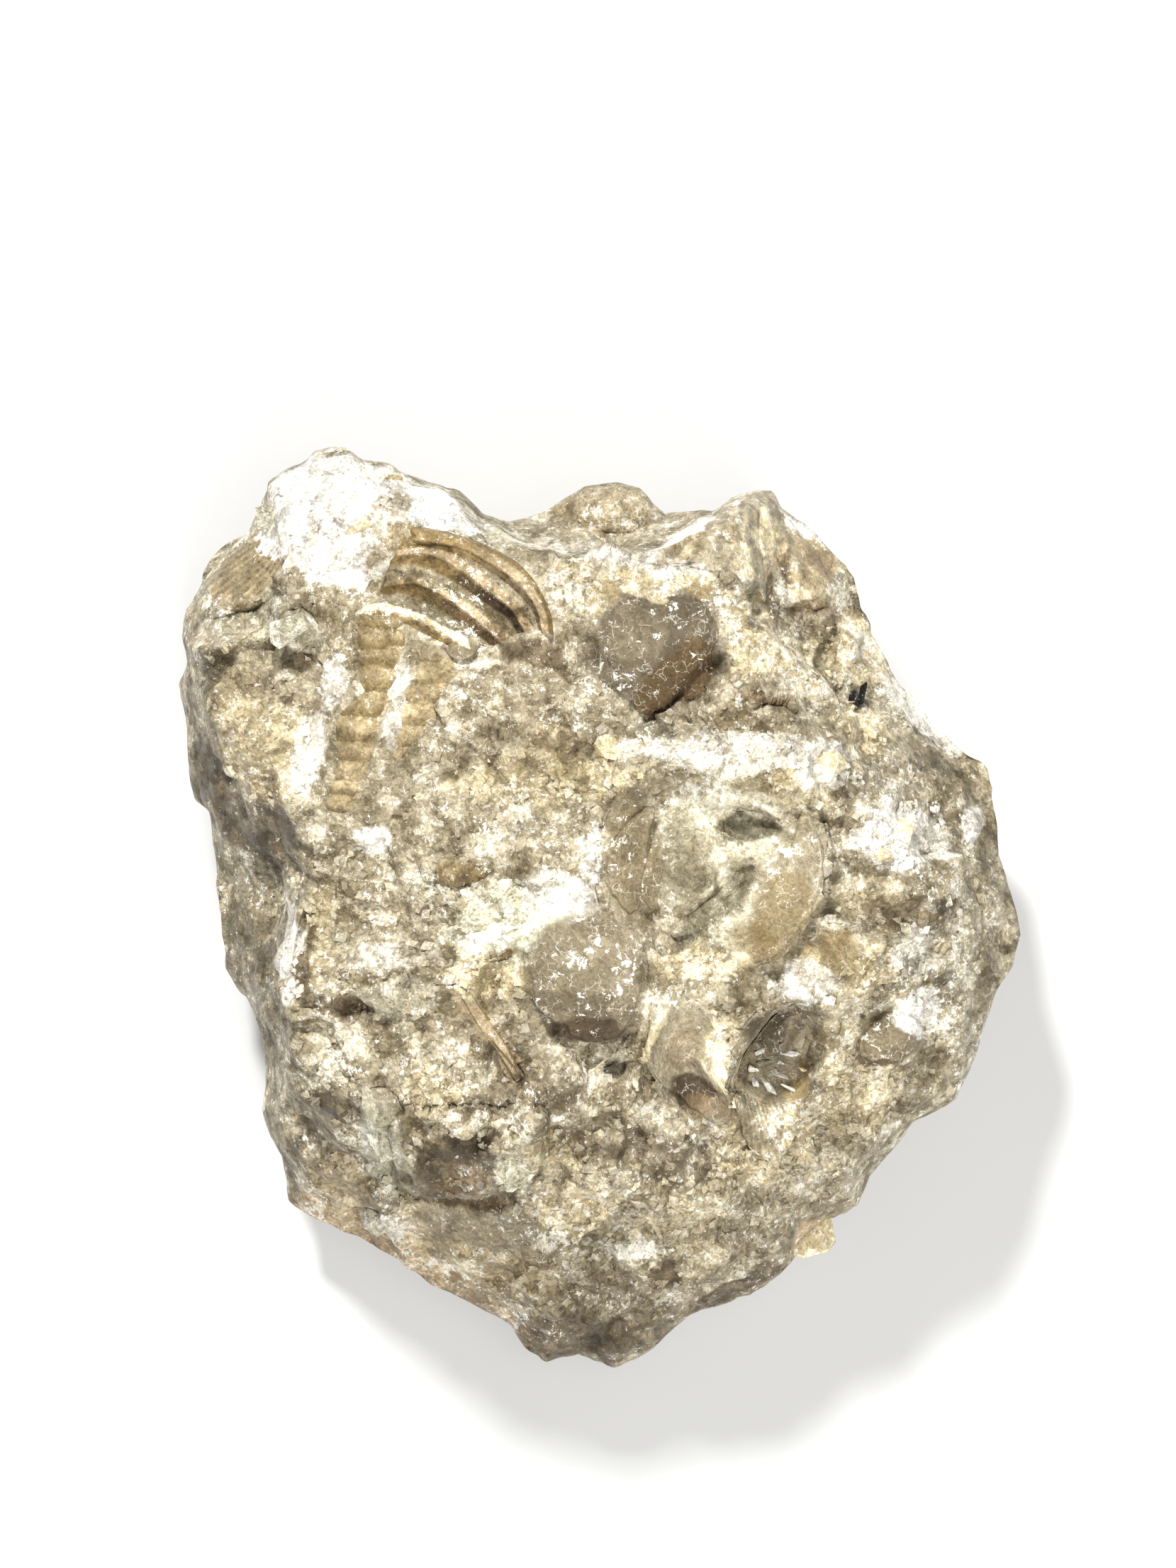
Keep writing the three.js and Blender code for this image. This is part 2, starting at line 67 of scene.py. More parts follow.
# Widest line of the lump seen from above, counter-clockwise.
RIM = np.array([
    (36.8, 2), (35.8, 5), (35.8, 8.5), (35, 13), (32, 15.5), (29, 19.5),
    (27.5, 20.5), (25.7, 23.5), (23.2, 27), (22.7, 30.2), (19.2, 34), (16.2, 36.4),
    (15.6, 38), (14, 38.2), (11.8, 37.5), (10, 36.3), (5.7, 36.2), (3.5, 38.5),
    (1.5, 39), (-1.5, 38.6), (-3, 37.8), (-5, 36.4), (-8.5, 35.6), (-11, 36),
    (-13.5, 38.3), (-17, 39.6), (-19.5, 40.5), (-22, 41), (-23, 42), (-26, 41.7),
    (-27, 40.6), (-30.5, 39.2), (-30.6, 37), (-32, 34.7), (-34.5, 32.6),
    (-36.5, 30), (-38, 27.4), (-38.4, 25), (-38, 22.6), (-38.5, 20.7),
    (-37.8, 17.7), (-38, 13.8), (-37.6, 10), (-36.2, 9), (-35.8, 6), (-35, 2),
    (-35, -2.5), (-34.7, -5.5), (-32.7, -8), (-31.2, -11.5), (-30.8, -16),
    (-31, -18.7), (-29.2, -24.2), (-28.7, -27), (-22.7, -30.7), (-17.2, -34),
    (-12.3, -36.3), (-8.3, -38.7), (-7, -41.2), (-5, -42.2), (-2, -41.2),
    (1.3, -42.2), (4.7, -40.6), (9, -37), (13.8, -35.9), (16.5, -33.5),
    (18.5, -30.5), (21.5, -27.5), (23.4, -26.8), (24.2, -24), (28.3, -19.3),
    (32, -17), (33.7, -13.3), (34.3, -11), (35.7, -6.5), (37, -4.7),
    (37.6, -2),
])

# Height of the rim over the underside, by direction in degrees.
RIM_HEIGHT = np.array([
    (0, 20), (25, 16), (45, 17), (65, 20), (80, 13), (92, 15), (105, 11),
    (120, 15), (140, 12), (165, 9), (182, 11), (200, 8), (225, 10), (245, 10),
    (262, 7), (280, 9), (300, 12), (320, 15), (340, 21), (360, 20),
])

# Corners of the flat underside, counter-clockwise.
BASE = np.array([
    (30, 9), (23, 20), (7, 30), (-13, 32), (-29, 23), (-29.5, 4),
    (-24, -18), (-9, -33), (11, -30), (23, -18), (30.5, -6),
])

# The low dome: its middle, its height and its fall with the square of the distance.
DOME_AT, DOME_HEIGHT, DOME_FALL = (0, -4), 39.5, 0.0045

# Breaks: a point on each face, its downhill direction in degrees, and its fall. The
# faces of one break meet in a crest.
BREAKS = [
    [((-24, 37, 32), 125, 2.2)],
    [((-29, 11, 34), 209, 2.5), ((-26, 0.5, 34), 172, 2.6)],
    [((-28, -4, 33), 185, 3.2), ((-26, -14, 30), 205, 1.6)],
    [((-28.5, -27, 12), 241, 1.75)],
    [((0, -18, 36.5), 282, 0.95)],
    [((14, -14, 35), -48, 0.75)],
    [((28, 5.7, 31), 5, 1.0)],
    [((19.6, 34.5, 15), 35, 1.8)],
]
BREAK_BLEND, BREAK_LEAST, BREAK_MOST = 1.1, -30, 300

# Shells, lumps and hollows: middle, half sizes, turn in degrees, rise, power of
# the edge (low is crisp), corners (2 is an ellipse) and share of roughness left.
FORMS = {
    "back valley": ((-0.5, 38.5), (9.5, 7.2), 0, -14, 0.7, 3, 1),
    "far hump": ((1.6, 38.5), (5.4, 4.6), 0, 9, 0.8, 2, 0.6),
    "left terrace": ((-35, 31), (7, 7.5), 20, -8, 0.5, 2, 1),
    "striated shell": ((-32.3, 30.6), (5.6, 3.8), 35, 2.6, 0.6, 2, 0.5),
    "gap below it": ((-31.5, 21.5), (4.6, 2.4), 15, -2, 0.7, 2, 1),
    "grey knob": ((-26.7, 24.5), (2, 1.7), 0, 2, 0.5, 2, 0.2),
    "white spar": ((-22, 34.5), (7.5, 5), -20, 1.8, 0.8, 2, 1),
    "ribbed flank": ((-14, 27.5), (8.5, 5.5), -35, -1.2, 0.6, 2, 0.3),
    "domed shell": ((4.6, 25), (5.8, 7.2), 8, 2.2, 0.8, 2, 0.12),
    "folded shell": ((13, 33), (5, 7), -25, 4.2, 1, 2, 0.6),
    "right lobe": ((19.3, 31.5), (3.4, 5), 25, 4, 0.7, 2, 0.5),
    "hollow valve": ((9.2, 4.8), (9.4, 7.6), -8, -3.4, 0.8, 2.6, 0.5),
    "valve pit": ((12.6, 8.2), (3.1, 1.6), -10, -1.6, 0.7, 2, 0.6),
    "yellow spar": ((-9.2, 1), (5, 3.8), -15, 1.6, 0.7, 3, 1),
    "centre shell": ((-1.4, -4.4), (5.4, 6.6), 12, 2, 0.7, 2, 0.15),
    "cup shell": ((7.4, -11.8), (3.1, 5.8), 20, -1.8, 0.8, 2, 0.15),
    "cup floor": ((7.8, -14.2), (2.6, 3.4), 25, -1.3, 1.2, 2, 0.15),
    "cavity": ((15.3, -12.2), (4, 5.2), -28, -5.5, 0.9, 2, 0.3),
    "small shell": ((25.5, -11), (2.8, 2.8), 0, 1.6, 0.5, 2, 0.2),
    "brown ledge": ((-11.5, -20.5), (6.8, 4.2), 0, 3.2, 0.3, 5, 1),
    "grey crystals": ((-19, -18), (2, 3.6), -5, 1.6, 0.6, 2, 0.6),
    "left swelling": ((-18, -7), (4, 6), 10, 1.2, 1.2, 2, 1),
    "front swelling": ((1, -24), (6, 4.5), 20, 1.2, 1.5, 2, 1),
    "low swelling": ((9, -30), (4.5, 3), -20, 1.4, 1.2, 2, 1),
    "right swelling": ((27, 3), (5, 6), 0, 1.2, 1.5, 2, 1),
}

# Raised lines: points along the crest, half width and rise.
CRESTS = [
    (((1.8, 21.4), (4.2, 21.9), (6.8, 23.6), (8.8, 25.6)), 2.6, 0.4),
    (((14.6, 37.2), (10.5, 35.4), (6, 33.2), (1, 31.4)), 2.2, 3.4),
    (((1.5, 13), (7, 14.2), (13, 13.6), (19, 12.4)), 1.9, 1.3),
    (((2, 8.5), (1.6, 4), (3.6, -1.5)), 1.3, 0.8),
    (((19.5, 8), (19, 2), (14.5, -3)), 1.5, 0.9),
    (((12.5, -9.5), (15.8, -6.8), (19.5, -7.6)), 1.5, 1.8),
    (((3.5, -12.4), (4.2, -9.9), (5.6, -7.4)), 0.8, 1.1),
    (((8.3, -12.2), (9.8, -14), (11.9, -16.3)), 0.55, 1.5),
    (((-26, 0.8), (-27, -3.2), (-27.2, -6.5)), 1, 1.6),
    (((-19.3, 25.6), (-21, 17), (-22.8, 9.6)), 2.3, 0.9),
]

# Broken edges: points with the higher side on the left, width, rise and drop. Half
# the width of the step itself, and the share of a line in which it fades at an end.
LEDGE_STEP, LINE_FADE = 0.18, 0.2
LEDGES = {
    "dome foot": (((0, 21.4), (1.4, 20), (3.2, 18.2), (5.4, 18.3), (7, 20), (9, 22.4), (10, 25)),
                  1.5, 0.3, 0.4),
    "striated shell": (((-34, 27.3), (-31, 27.2), (-28.4, 28.2), (-27, 29.6)), 1.4, 0.5, 0.8),
    "knob shadow": (((-29, 23), (-26.8, 22.4), (-24.4, 21.7)), 1.0, 0.1, 0.9),
    "terrace": (((-33, 21), (-30, 20.2), (-27, 19.8)), 1.2, 0.3, 0.5),
    "curved rib": (((-15.4, 4.4), (-12.4, 3.2), (-10.6, 3.7), (-8.8, 4.5)), 1.0, 0.7, 0.3),
    "honey edge": (((-14, -3.7), (-11, -4.1), (-7.4, -3.8)), 1.3, 0.7, 0.4),
    "dark line": (((-15, -5), (-12.5, -5.3), (-11, -5.8)), 0.7, 0.1, 0.5),
    "left brow": (((-30, 4.6), (-27, 5.2), (-24.8, 3)), 1.4, 0.3, 0.9),
    "low brow": (((-25.4, -7.4), (-23, -6.9), (-21.4, -8.4)), 1.2, 0.4, 0.8),
    "grey brow": (((-20, -8.6), (-17.5, -8.2), (-15, -8.9)), 1.0, 0.5, 0.5),
    "grey wall": (((-25, -11.8), (-22.8, -12.2), (-20.5, -14.2)), 1.0, 0.3, 0.7),
    "centre shell": (((-6.4, -5.6), (-5.4, -8), (-3.2, -9.2), (-2.4, -10.3), (-0.6, -10.7),
                      (1.4, -10.2), (3.4, -7.4)), 1.2, 0.7, 1.6),
    "sliver shadow": (((-9.6, -10.2), (-8.2, -11.8), (-6.6, -13.8)), 0.6, 0.3, 0.4),
    "valve roof": (((1.6, 11), (4.5, 11.3), (7.3, 11.6), (9.5, 10.6)), 0.9, 0.2, 0.2),
    "pit roof": (((9.6, 8.4), (10.6, 9.5), (12.4, 9.6), (14.5, 8.8), (16, 7.2)), 0.8, 0.4, 1.3),
    "pit lip": (((14.6, 5.9), (12.9, 6.5), (11, 7)), 0.7, 0.3, 0.4),
    "silt band": (((13.8, 4.8), (11.8, 3.1), (8.6, 0.6), (5.6, -1.6)), 1.0, 0.3, 0.9),
    "silt step": (((9.8, 10.2), (10.2, 7.2), (12.4, 6.2)), 0.7, 0.3, 0.4),
    "silt hollow": (((4.8, -0.6), (6.2, -2), (8, -1.2)), 0.9, 0.1, 0.8),
    "right wall": (((19.4, 4.6), (18.9, 1.8), (17.8, -0.6)), 0.8, 0.2, 0.2),
    "shelf over pit": (((12.4, 17.9), (13.8, 18.8), (15.6, 18.5), (17.4, 17)), 0.8, 0.3, 0.9),
    "dome shadow": (((2.9, 17.2), (4.2, 17.7), (5.6, 17)), 0.9, 0.2, 0.9),
    "second shadow": (((6.6, 17), (8, 17.7), (9.6, 16.8)), 0.8, 0.2, 0.6),
    "low shelf": (((8, 16.2), (11, 16.4), (14, 16)), 0.8, 0.2, 0.4),
    "cavity roof": (((10.6, -15.8), (12, -12.8), (13.6, -10.2), (15.4, -7.8), (17.6, -7),
                     (20.6, -9.2)), 1.8, 0.5, 1.8),
    "small shell": (((22.3, -12), (24, -13), (26, -12.8), (27.4, -11.8)), 0.8, 0.4, 0.7),
    "right fold": (((16.4, 27.7), (18.8, 27.2), (21.6, 28.2)), 0.9, 0.5, 0.5),
    "fold hem": (((9.6, 30.4), (10.6, 29.2), (11.6, 28), (13, 28.2), (14, 28.8)), 0.8, 0.5, 0.8),
    "brown shelf": (((-18.6, -22.4), (-16.4, -24.7), (-11, -25), (-5.8, -25)), 1.0, 0.9, 1.5),
    "front shelf": (((-4, -16), (-1, -17), (3, -16.6)), 1.2, 0.3, 0.5),
    "front brow": (((8, -21.6), (10.5, -20.6), (13.5, -21.4)), 1.1, 0.3, 0.6),
    "low shelf left": (((-14, -28), (-10, -29.6), (-7, -29)), 1.2, 0.3, 0.5),
    "right brow": (((20.5, -1.2), (23, -0.6), (25, -1.4)), 1.0, 0.3, 0.6),
    "right hollow": (((27, -1), (29, -0.2), (31, -1.4)), 1.0, 0.2, 0.6),
}

# Creases and cracks: points, half width and depth.
CREASES = [
    (((10.7, 36), (10.4, 33), (9.9, 30)), 0.35, 0.5),
    (((12.5, 36.6), (12.2, 32.6), (12.9, 29)), 0.3, 0.45),
    (((14, 36.6), (13.9, 33), (14.3, 30), (14.9, 26.4)), 0.4, 1.5),
    (((15.9, 35.6), (16.1, 33), (15.8, 30), (15.3, 28)), 0.3, 0.5),
    (((17.3, 34), (17.1, 31), (16.5, 28.4)), 0.3, 0.45),
    (((18.8, 33.2), (18.4, 30.4), (17.4, 28)), 0.35, 0.4),
    (((4.4, 31.6), (7, 33.4), (10, 34.8)), 0.22, 0.3),
    (((5.4, 31), (8, 32.8), (10.2, 33.6)), 0.2, 0.25),
    (((0.1, -11.2), (0.7, -12.5), (1.6, -13.8)), 0.25, 0.4),
    (((9.6, 25.4), (9, 23), (9.8, 21)), 0.25, 0.5),
    (((8.2, 20.6), (8.9, 19.4), (9.8, 18.6)), 0.25, 0.5),
    (((21.6, 20.6), (22.4, 19.4), (22.2, 18)), 0.5, 0.9),
    (((26.8, -6.4), (27.6, -7.6)), 0.5, 0.9),
    (((-31.2, 31.6), (-29.6, 30.4), (-28.6, 29)), 0.25, 0.4),
    (((-32.6, 30.4), (-31, 29.4), (-30, 28.2)), 0.25, 0.4),
    (((-29.6, 32.2), (-28, 31), (-27, 29.8)), 0.25, 0.4),
    (((-26.6, 0.6), (-26.2, -3), (-26.6, -6.6)), 0.3, 0.7),
    (((-4.4, -4.6), (-3.6, -6), (-2.4, -6.8)), 0.2, 0.25),
    (((-5, -6.6), (-3, -7.9), (0.6, -8.4)), 0.2, 0.3),
]

# Nearly smooth patches, round the trilobite and on the front face: middle, half
# sizes, turn and squareness. Then the roughness left on them, and where the edges
# of forms and patches fade.
SMOOTH_PATCHES = [
    ((-13, 28), (11, 7.5), -30, 2),
    ((-20, 17), (5, 11), -10, 3),
    ((-11, -28), (6.4, 2.8), -8, 3),
]
SMOOTH_LEFT = 0.15
FORM_EDGE, PATCH_EDGE = (0.85, 1.1), (0.8, 1.1)

# Chips of the broken surface: size, tilt, step and bulge. Then how much of the
# roughness is left by the rim and on steep faces, and how it is softened.
CHIPS = [(9.5, 0.2, 0.7, 0), (4.6, 0.28, 0.5, 0)]
FINE_CHIPS = [(1.9, 0.2, 0.08, 0.08), (0.9, 0.18, 0.03, 0.06)]
CHIP_SEED, CELLS_AROUND = 7, 27
SCATTER_TURNS, SCATTER_SCALE = (127.1, 311.7, 74.7, 53.3), 43758.5453
RIM_ROUGHNESS, RIM_BAND = 0.35, (0.88, 0.97)
STEEP_RELIEF, STEEP_COARSE, STEEPNESS = 0.3, 0.5, (0.3, 0.9)
SOFTEN_ROUNDS, SOFTEN_SHARE = 3, 0.6

# Noises: their height or reach, size, octaves and seed.
NOISES = {
    "grain": (0.16, 2.4, 4, 20),
    "lumps": (1, 7.5, 2, 30),
    "tint across": (0.5, 2.4, 4, 40),
    "tint upwards": (0.5, 2.4, 4, 50),
    "tint edge": (0.4, 0.9, 3, 46),
    "flank ends": (0.12, 2.2, 4, 65),
    "rings": (1, 2.6, 3, 75),
    "ringed": (0.2, 1.4, 4, 70),
    "fan": (0.3, 2.5, 3, 85),
    "band edge": (0.03, 1.5, 3, 81),
    "band": (0.06, 2.4, 4, 91),
    "skin edge": (0.05, 1.5, 3, 80),
    "skin": (1, 1.8, 4, 90),
}

# Mesh of the lump. Each ring on top has a point more in every sector than the last.
SECTORS, TOP_RINGS, SIDE_RINGS, OUTLINE_STEPS = 8, 134, 20, 24
SIDE_BULGE, SIDE_DROP, BASE_CLEARANCE = 1.55, 0.82, 0.3
RIM_ROUNDING, RIM_FULLNESS = 14, 0.6
SLOPE_STEPS, SLOPE_WEIGHT, SLOPE_DIRECTIONS = 60, 0.3, 360

# -------------------------------------------------------------- the trilobite

# The flank of the tail: curves along it, each with its height over the rock, the
# colours at the left and right ends of what follows it, and the power of its slope.
# The rows just after the outer band and after each crest, ochre turning brown
# towards the right, are partly the shell's ochre and partly painted shadow under the crest.
FLANK = [
    (((-18, 33.9), (-15.3, 33.9), (-12.3, 33.2), (-9.2, 32), (-6.8, 30.4), (-5.3, 28.4),
      (-4.3, 26.2), (-4.1, 24.4)), -0.6, "ochre", "ochre", 0.6),
    (((-18.1, 33.3), (-15.4, 33.4), (-12.3, 32.8), (-9.4, 31.7), (-7.1, 30), (-5.7, 28.2),
      (-4.8, 26.2), (-4.5, 24.4)), 0.95, "ochre", "clay", 1),
    (((-18.1, 32.4), (-15.6, 32.6), (-12.3, 32), (-10.1, 30.9), (-8.3, 29.8), (-6.8, 28.4),
      (-5.6, 26.6), (-5.1, 24.5)), 0.85, "ochre", "brown", 0.4),
    (((-18.2, 32.1), (-15.6, 32.2), (-12.5, 31.6), (-10.4, 30.5), (-8.7, 29.3), (-7.2, 28),
      (-5.9, 26.4), (-5.3, 24.5)), 0.3, "ochre", "pearl", 1.6),
    (((-18.2, 31.9), (-15.4, 32.1), (-13.5, 31.8), (-11.5, 30.7), (-9.5, 29.2), (-7.5, 27.6),
      (-6.4, 26.2), (-5.8, 24.5)), 0.8, "clay", "clay", 1),
    (((-18.2, 31.4), (-15.4, 31.5), (-13.7, 31), (-12.1, 30), (-10.4, 28.7), (-8.9, 27.5),
      (-7.5, 26.3), (-6.6, 24.7)), 0.85, "ochre", "bark", 0.4),
    (((-18.6, 30.6), (-16.4, 30.7), (-14.5, 30.1), (-12.6, 29.1), (-10.8, 27.8), (-9.2, 26.7),
      (-7.9, 25.7), (-7.1, 24.3)), -0.1, "pearl", "drab", 1.8),
    (((-18.8, 29.3), (-16.7, 29.5), (-15.1, 29.1), (-13.5, 28.4), (-11.9, 27.5), (-10.3, 26.3),
      (-8.7, 25.1), (-7.4, 24)), 0.7, "fawn", "clay", 1),
    (((-18.9, 28.8), (-16.8, 29), (-15.2, 28.6), (-13.7, 27.8), (-12.2, 26.8), (-10.8, 25.7),
      (-9.4, 24.4), (-8.2, 23.4)), 0.75, "ochre", "umber", 0.4),
    (((-19.2, 28.1), (-17.3, 28.3), (-15.9, 27.8), (-14.3, 27), (-12.8, 26), (-11.4, 25),
      (-10.1, 24), (-9, 23.1)), -0.15, "pearl", "grey", 1.8),
    (((-21.4, 26.4), (-20.1, 27.1), (-18.7, 27.2), (-16.9, 26.7), (-15.3, 26.1), (-13.5, 25.1),
      (-12.1, 24.5), (-10.9, 23.7)), 0.6, "cream", "cream", 1),
    (((-21.4, 26), (-20.1, 26.6), (-18.7, 26.7), (-16.9, 26.2), (-15.4, 25.6), (-13.7, 24.6),
      (-12.3, 23.9), (-11.2, 23)), 0.6, "ochre", "ochre", 0.5),
    (((-21.5, 24.3), (-19.6, 24.8), (-17.9, 24.7), (-16.3, 24), (-14.9, 23.2), (-13.5, 22.6),
      (-12.5, 22.2), (-11.9, 21.6)), -0.6, "tan", "tan", 1),
]
FLANK_LENGTHWAYS, FLANK_BETWEEN = 190, 10

# Where the left colour gives way to the right one along the flank, and the last
# row's to the next one's. Then the smoothness of the first rows and of the others,
# where the relief rises and falls along the flank, and its lift.
FLANK_RIGHT_COLOUR, FLANK_NEXT_COLOUR = (0.25, 0.6), (0, 0.3)
FLANK_FIRST_ROWS, FLANK_FIRST_SMOOTHNESS, FLANK_SMOOTHNESS = 3, 0.45, 0.12
FLANK_ENDS, FLANK_LIFT = (0.02, 0.16, 0.88, 1), 0.15

# Ringed parts: left and right edges, creases between the rings by their place up
# the fossil, rise of the whole and of each ring, slant of the rings and how much
# darker the upper end is.
RINGED = {
    "trilobite_axis": (
        ((-21.4, 26.8), (-21.3, 24.4), (-21.2, 21.6), (-20.9, 19.6), (-21.8, 18.3),
         (-22.9, 17.2), (-22.9, 15.2), (-22.9, 13.2), (-23.3, 11.6), (-23.8, 10.2), (-23.6, 8.9)),
        ((-17, 26.6), (-16.8, 24.2), (-17.2, 21.4), (-17.8, 19.3), (-18.4, 18), (-18.9, 16.6),
         (-19.3, 14.8), (-19.9, 12.8), (-20.7, 11.2), (-21.3, 9.9), (-21.5, 8.7)),
        (26.8, 25, 23.2, 21.2, 19.2, 17.2, 15, 13.2, 11.6, 10.4, 8.7), 0.65, 0.32, 0, 0.55,
    ),
    "trilobite_pleurae": (
        ((-16.7, 23.7), (-16.6, 22.2), (-16.8, 20.5), (-17.2, 18.7), (-17.7, 17), (-18.3, 15.2),
         (-19, 13.3)),
        ((-12.4, 22.2), (-12.2, 20.6), (-12.4, 18.9), (-13.1, 17.2), (-14.6, 15.6), (-16, 14),
         (-17, 12.4)),
        (23.4, 21.8, 20, 18.2, 16.4, 14.6, 12.4), 0.35, 0.26, 0.35, 0,
    ),
}
RINGED_LENGTHWAYS, RINGED_ACROSS = 220, 44

# Shape of a ring along the fossil and of the whole across it, share of a ring's rise
# at the sides, where the relief rises and falls, and how deep the fossil is sunk.
RING_LEAN, RING_FULLNESS, RING_AT_SIDES = 0.8, 2.2, 0.4
RINGED_FULLNESS, RINGED_ROUNDING = 2.6, 0.6
RINGED_ENDS, RINGED_SUNK = (0, 0.04, 0.94, 1), 0.45

# Wobble of the rings at the lower and upper end, and the places between which it
# grows and the fossil darkens. Then the dark part of a ring, which is olive and
# partly painted shade, its depth, and the looks.
RING_WOBBLE, WOBBLE_GROWS, RINGED_DARKENS = (0.1, 0.5), (20, 23), (12, 20)
RING_DARK_PART, RING_DARKNESS = (0.25, 0.85, 0.95, 1), 0.6
RINGED_COLOURS, RINGED_SMOOTHNESS = ("fawn", "olive"), 0.4

# Smooth skins of shell over the rock: outline, lift and smoothness.
SKINS = {
    "domed_shell": (
        ((0, 22.6), (0.2, 24.6), (1, 26.4), (2.6, 27.4), (4.6, 28.2), (6.6, 28.3), (8.4, 27.6),
         (9.8, 26.2), (10, 24.4), (9.1, 22), (7.6, 20.2), (6.1, 18.8), (4.6, 18), (3.2, 18.2),
         (2.1, 19.3), (0.8, 20.8)),
        0.25, 0.75,
    ),
    "folded_shell": (
        ((3, 30.6), (5.6, 33.2), (8.4, 35), (10.4, 36.2), (12.3, 37.6), (15.2, 37.7), (16.4, 36),
         (18.5, 34.4), (20.6, 32), (21.4, 29.6), (21, 28.1), (18, 27.4), (15.4, 27), (14.4, 27.4),
         (13.2, 28.1), (11.8, 27.9), (10.5, 29), (8, 30.2)),
        0.3, 0.55,
    ),
    "centre_shell": (
        ((-6.2, -2), (-5.4, -0.6), (-4, 0.3), (-2, 0.2), (0.6, -0.2), (2.6, -0.6), (3.5, -1.8),
         (3.9, -4), (3.3, -7), (2.6, -9), (1, -10.3), (-0.6, -10.7), (-2.5, -10.3), (-3.2, -9.3),
         (-4.6, -9), (-5.4, -8), (-6.1, -6), (-6.5, -4)),
        0.4, 0.7,
    ),
    "striated_shell": (
        ((-36.6, 30.6), (-35, 33), (-32.6, 34.2), (-30, 33.6), (-27.6, 32), (-26.6, 30),
         (-27.4, 28.7), (-29, 27.9), (-31.4, 27.2), (-34, 27.6), (-36, 28.6)),
        0.4, 0.6,
    ),
    "small_shell": (
        ((22.2, -11.4), (22.8, -9.6), (24.6, -8.4), (26.8, -8.6), (28.2, -10.2), (27.6, -11.8),
         (26, -12.9), (24, -13), (22.9, -12.4)),
        0.35, 0.8,
    ),
    "cup_shell": (
        ((6.4, -6.8), (8.8, -7.2), (9.9, -9.2), (9.4, -11.2), (9.8, -13.4), (11, -15.6),
         (11.4, -17.8), (9.8, -18.2), (8, -16.8), (6, -15), (4.4, -13.6), (3.7, -11.8), (4, -9.8),
         (5, -8)),
        0.3, 0.85,
    ),
    "cavity_shell": (
        ((17.4, -7.4), (15.2, -8.2), (13.4, -10.4), (12, -12.8), (11.6, -14.8), (13, -16),
         (15.4, -16.8), (17.4, -16.6), (18.4, -14.6), (19, -12), (18.8, -9)),
        0.2, 0.8,
    ),
    "lens_crystal": (
        ((-13.6, 23.2), (-12.4, 24.1), (-11, 24.3), (-10.5, 23.4), (-11.4, 22.3), (-12.7, 22.1)),
        0.8, 0.95,
    ),
    "cavity_ribs": (
        ((12, -15), (14.4, -15.8), (16.4, -16.4), (17, -18), (16.6, -20), (15.2, -21.6),
         (13.2, -20.6), (12, -18.6), (11.5, -16.6)),
        0.25, 0.4,
    ),
}

# Crescents of shell: their two edges, lift and smoothness.
BANDS = {
    "valve_left": (
        ((4.2, 9.9), (2.7, 8.6), (1.4, 7.2), (0.3, 5.2), (0.4, 2.8), (1.4, 1.1), (2.8, 0.1)),
        ((4.6, 9.6), (4.5, 8.2), (4.4, 6.8), (4.2, 4.8), (3.9, 3.2), (3.5, 1.6), (3, 0.3)),
        0.45, 0.85,
    ),
    "blade": (
        ((-26.1, 1.4), (-27.1, -1.6), (-27.6, -4.4), (-27.7, -7)),
        ((-25.6, 1), (-26.3, -1.8), (-26.7, -4.4), (-27, -7)),
        0.9, 0.8,
    ),
    "sliver": (
        ((-12.4, -6.2), (-10.7, -9), (-8.9, -11.6), (-7.3, -14)),
        ((-11.4, -5.8), (-9.6, -8.6), (-7.9, -11.2), (-6.8, -13.6)),
        0.4, 0.7,
    ),
    "valve_right": (
        ((17.2, 9.4), (16.2, 6.6), (15.2, 4), (13.8, 2), (12.4, 0.4), (11, -0.8), (10.6, -2.8)),
        ((17.6, 9.2), (18.9, 6), (18.9, 2.8), (18, 0.2), (16.6, -2), (14.8, -3.6), (11.6, -4.3)),
        0.3, 0.75,
    ),
}
BAND_LENGTHWAYS, BAND_ACROSS = 120, 40
BAND_SIDE_SHARE, BAND_RIM = 0.5, 0.07

# Fine ribs spreading from a point: place, spacing in radians and rise.
FANS = {
    "cavity_ribs": ((11.6, -11), 0.06, 0.05),
    "folded_shell": ((13.6, 43), 0.13, 0.16),
    "striated_shell": ((-22, 38), 0.05, 0.12),
}
# Share by which fine ribs are painted lighter on their crests and darker in their troughs: painted
# light and shade.
FAN_SHADE = 0.15

# White patches on each fossil, from 0 to 1. The rock and other fossils have a half.
SPECKLE = {
    "trilobite_flank": 0.52, "trilobite_axis": 0.42, "trilobite_pleurae": 0.46, "domed_shell": 0.47,
    "folded_shell": 0.5, "centre_shell": 0.56, "cup_shell": 0.35, "cavity_shell": 0.3,
    "lens_crystal": 0.1, "valve_left": 0.45, "valve_right": 0.42, "blade": 0.5, "sliver": 0.45,
    "striated_shell": 0.45,
}
ROCK_SPECKLE = 0.5

# Depth mark of a plain surface: hollows have less, and the shader paints shade where the mark is
# low.
PLAIN_DEPTH = 0.5

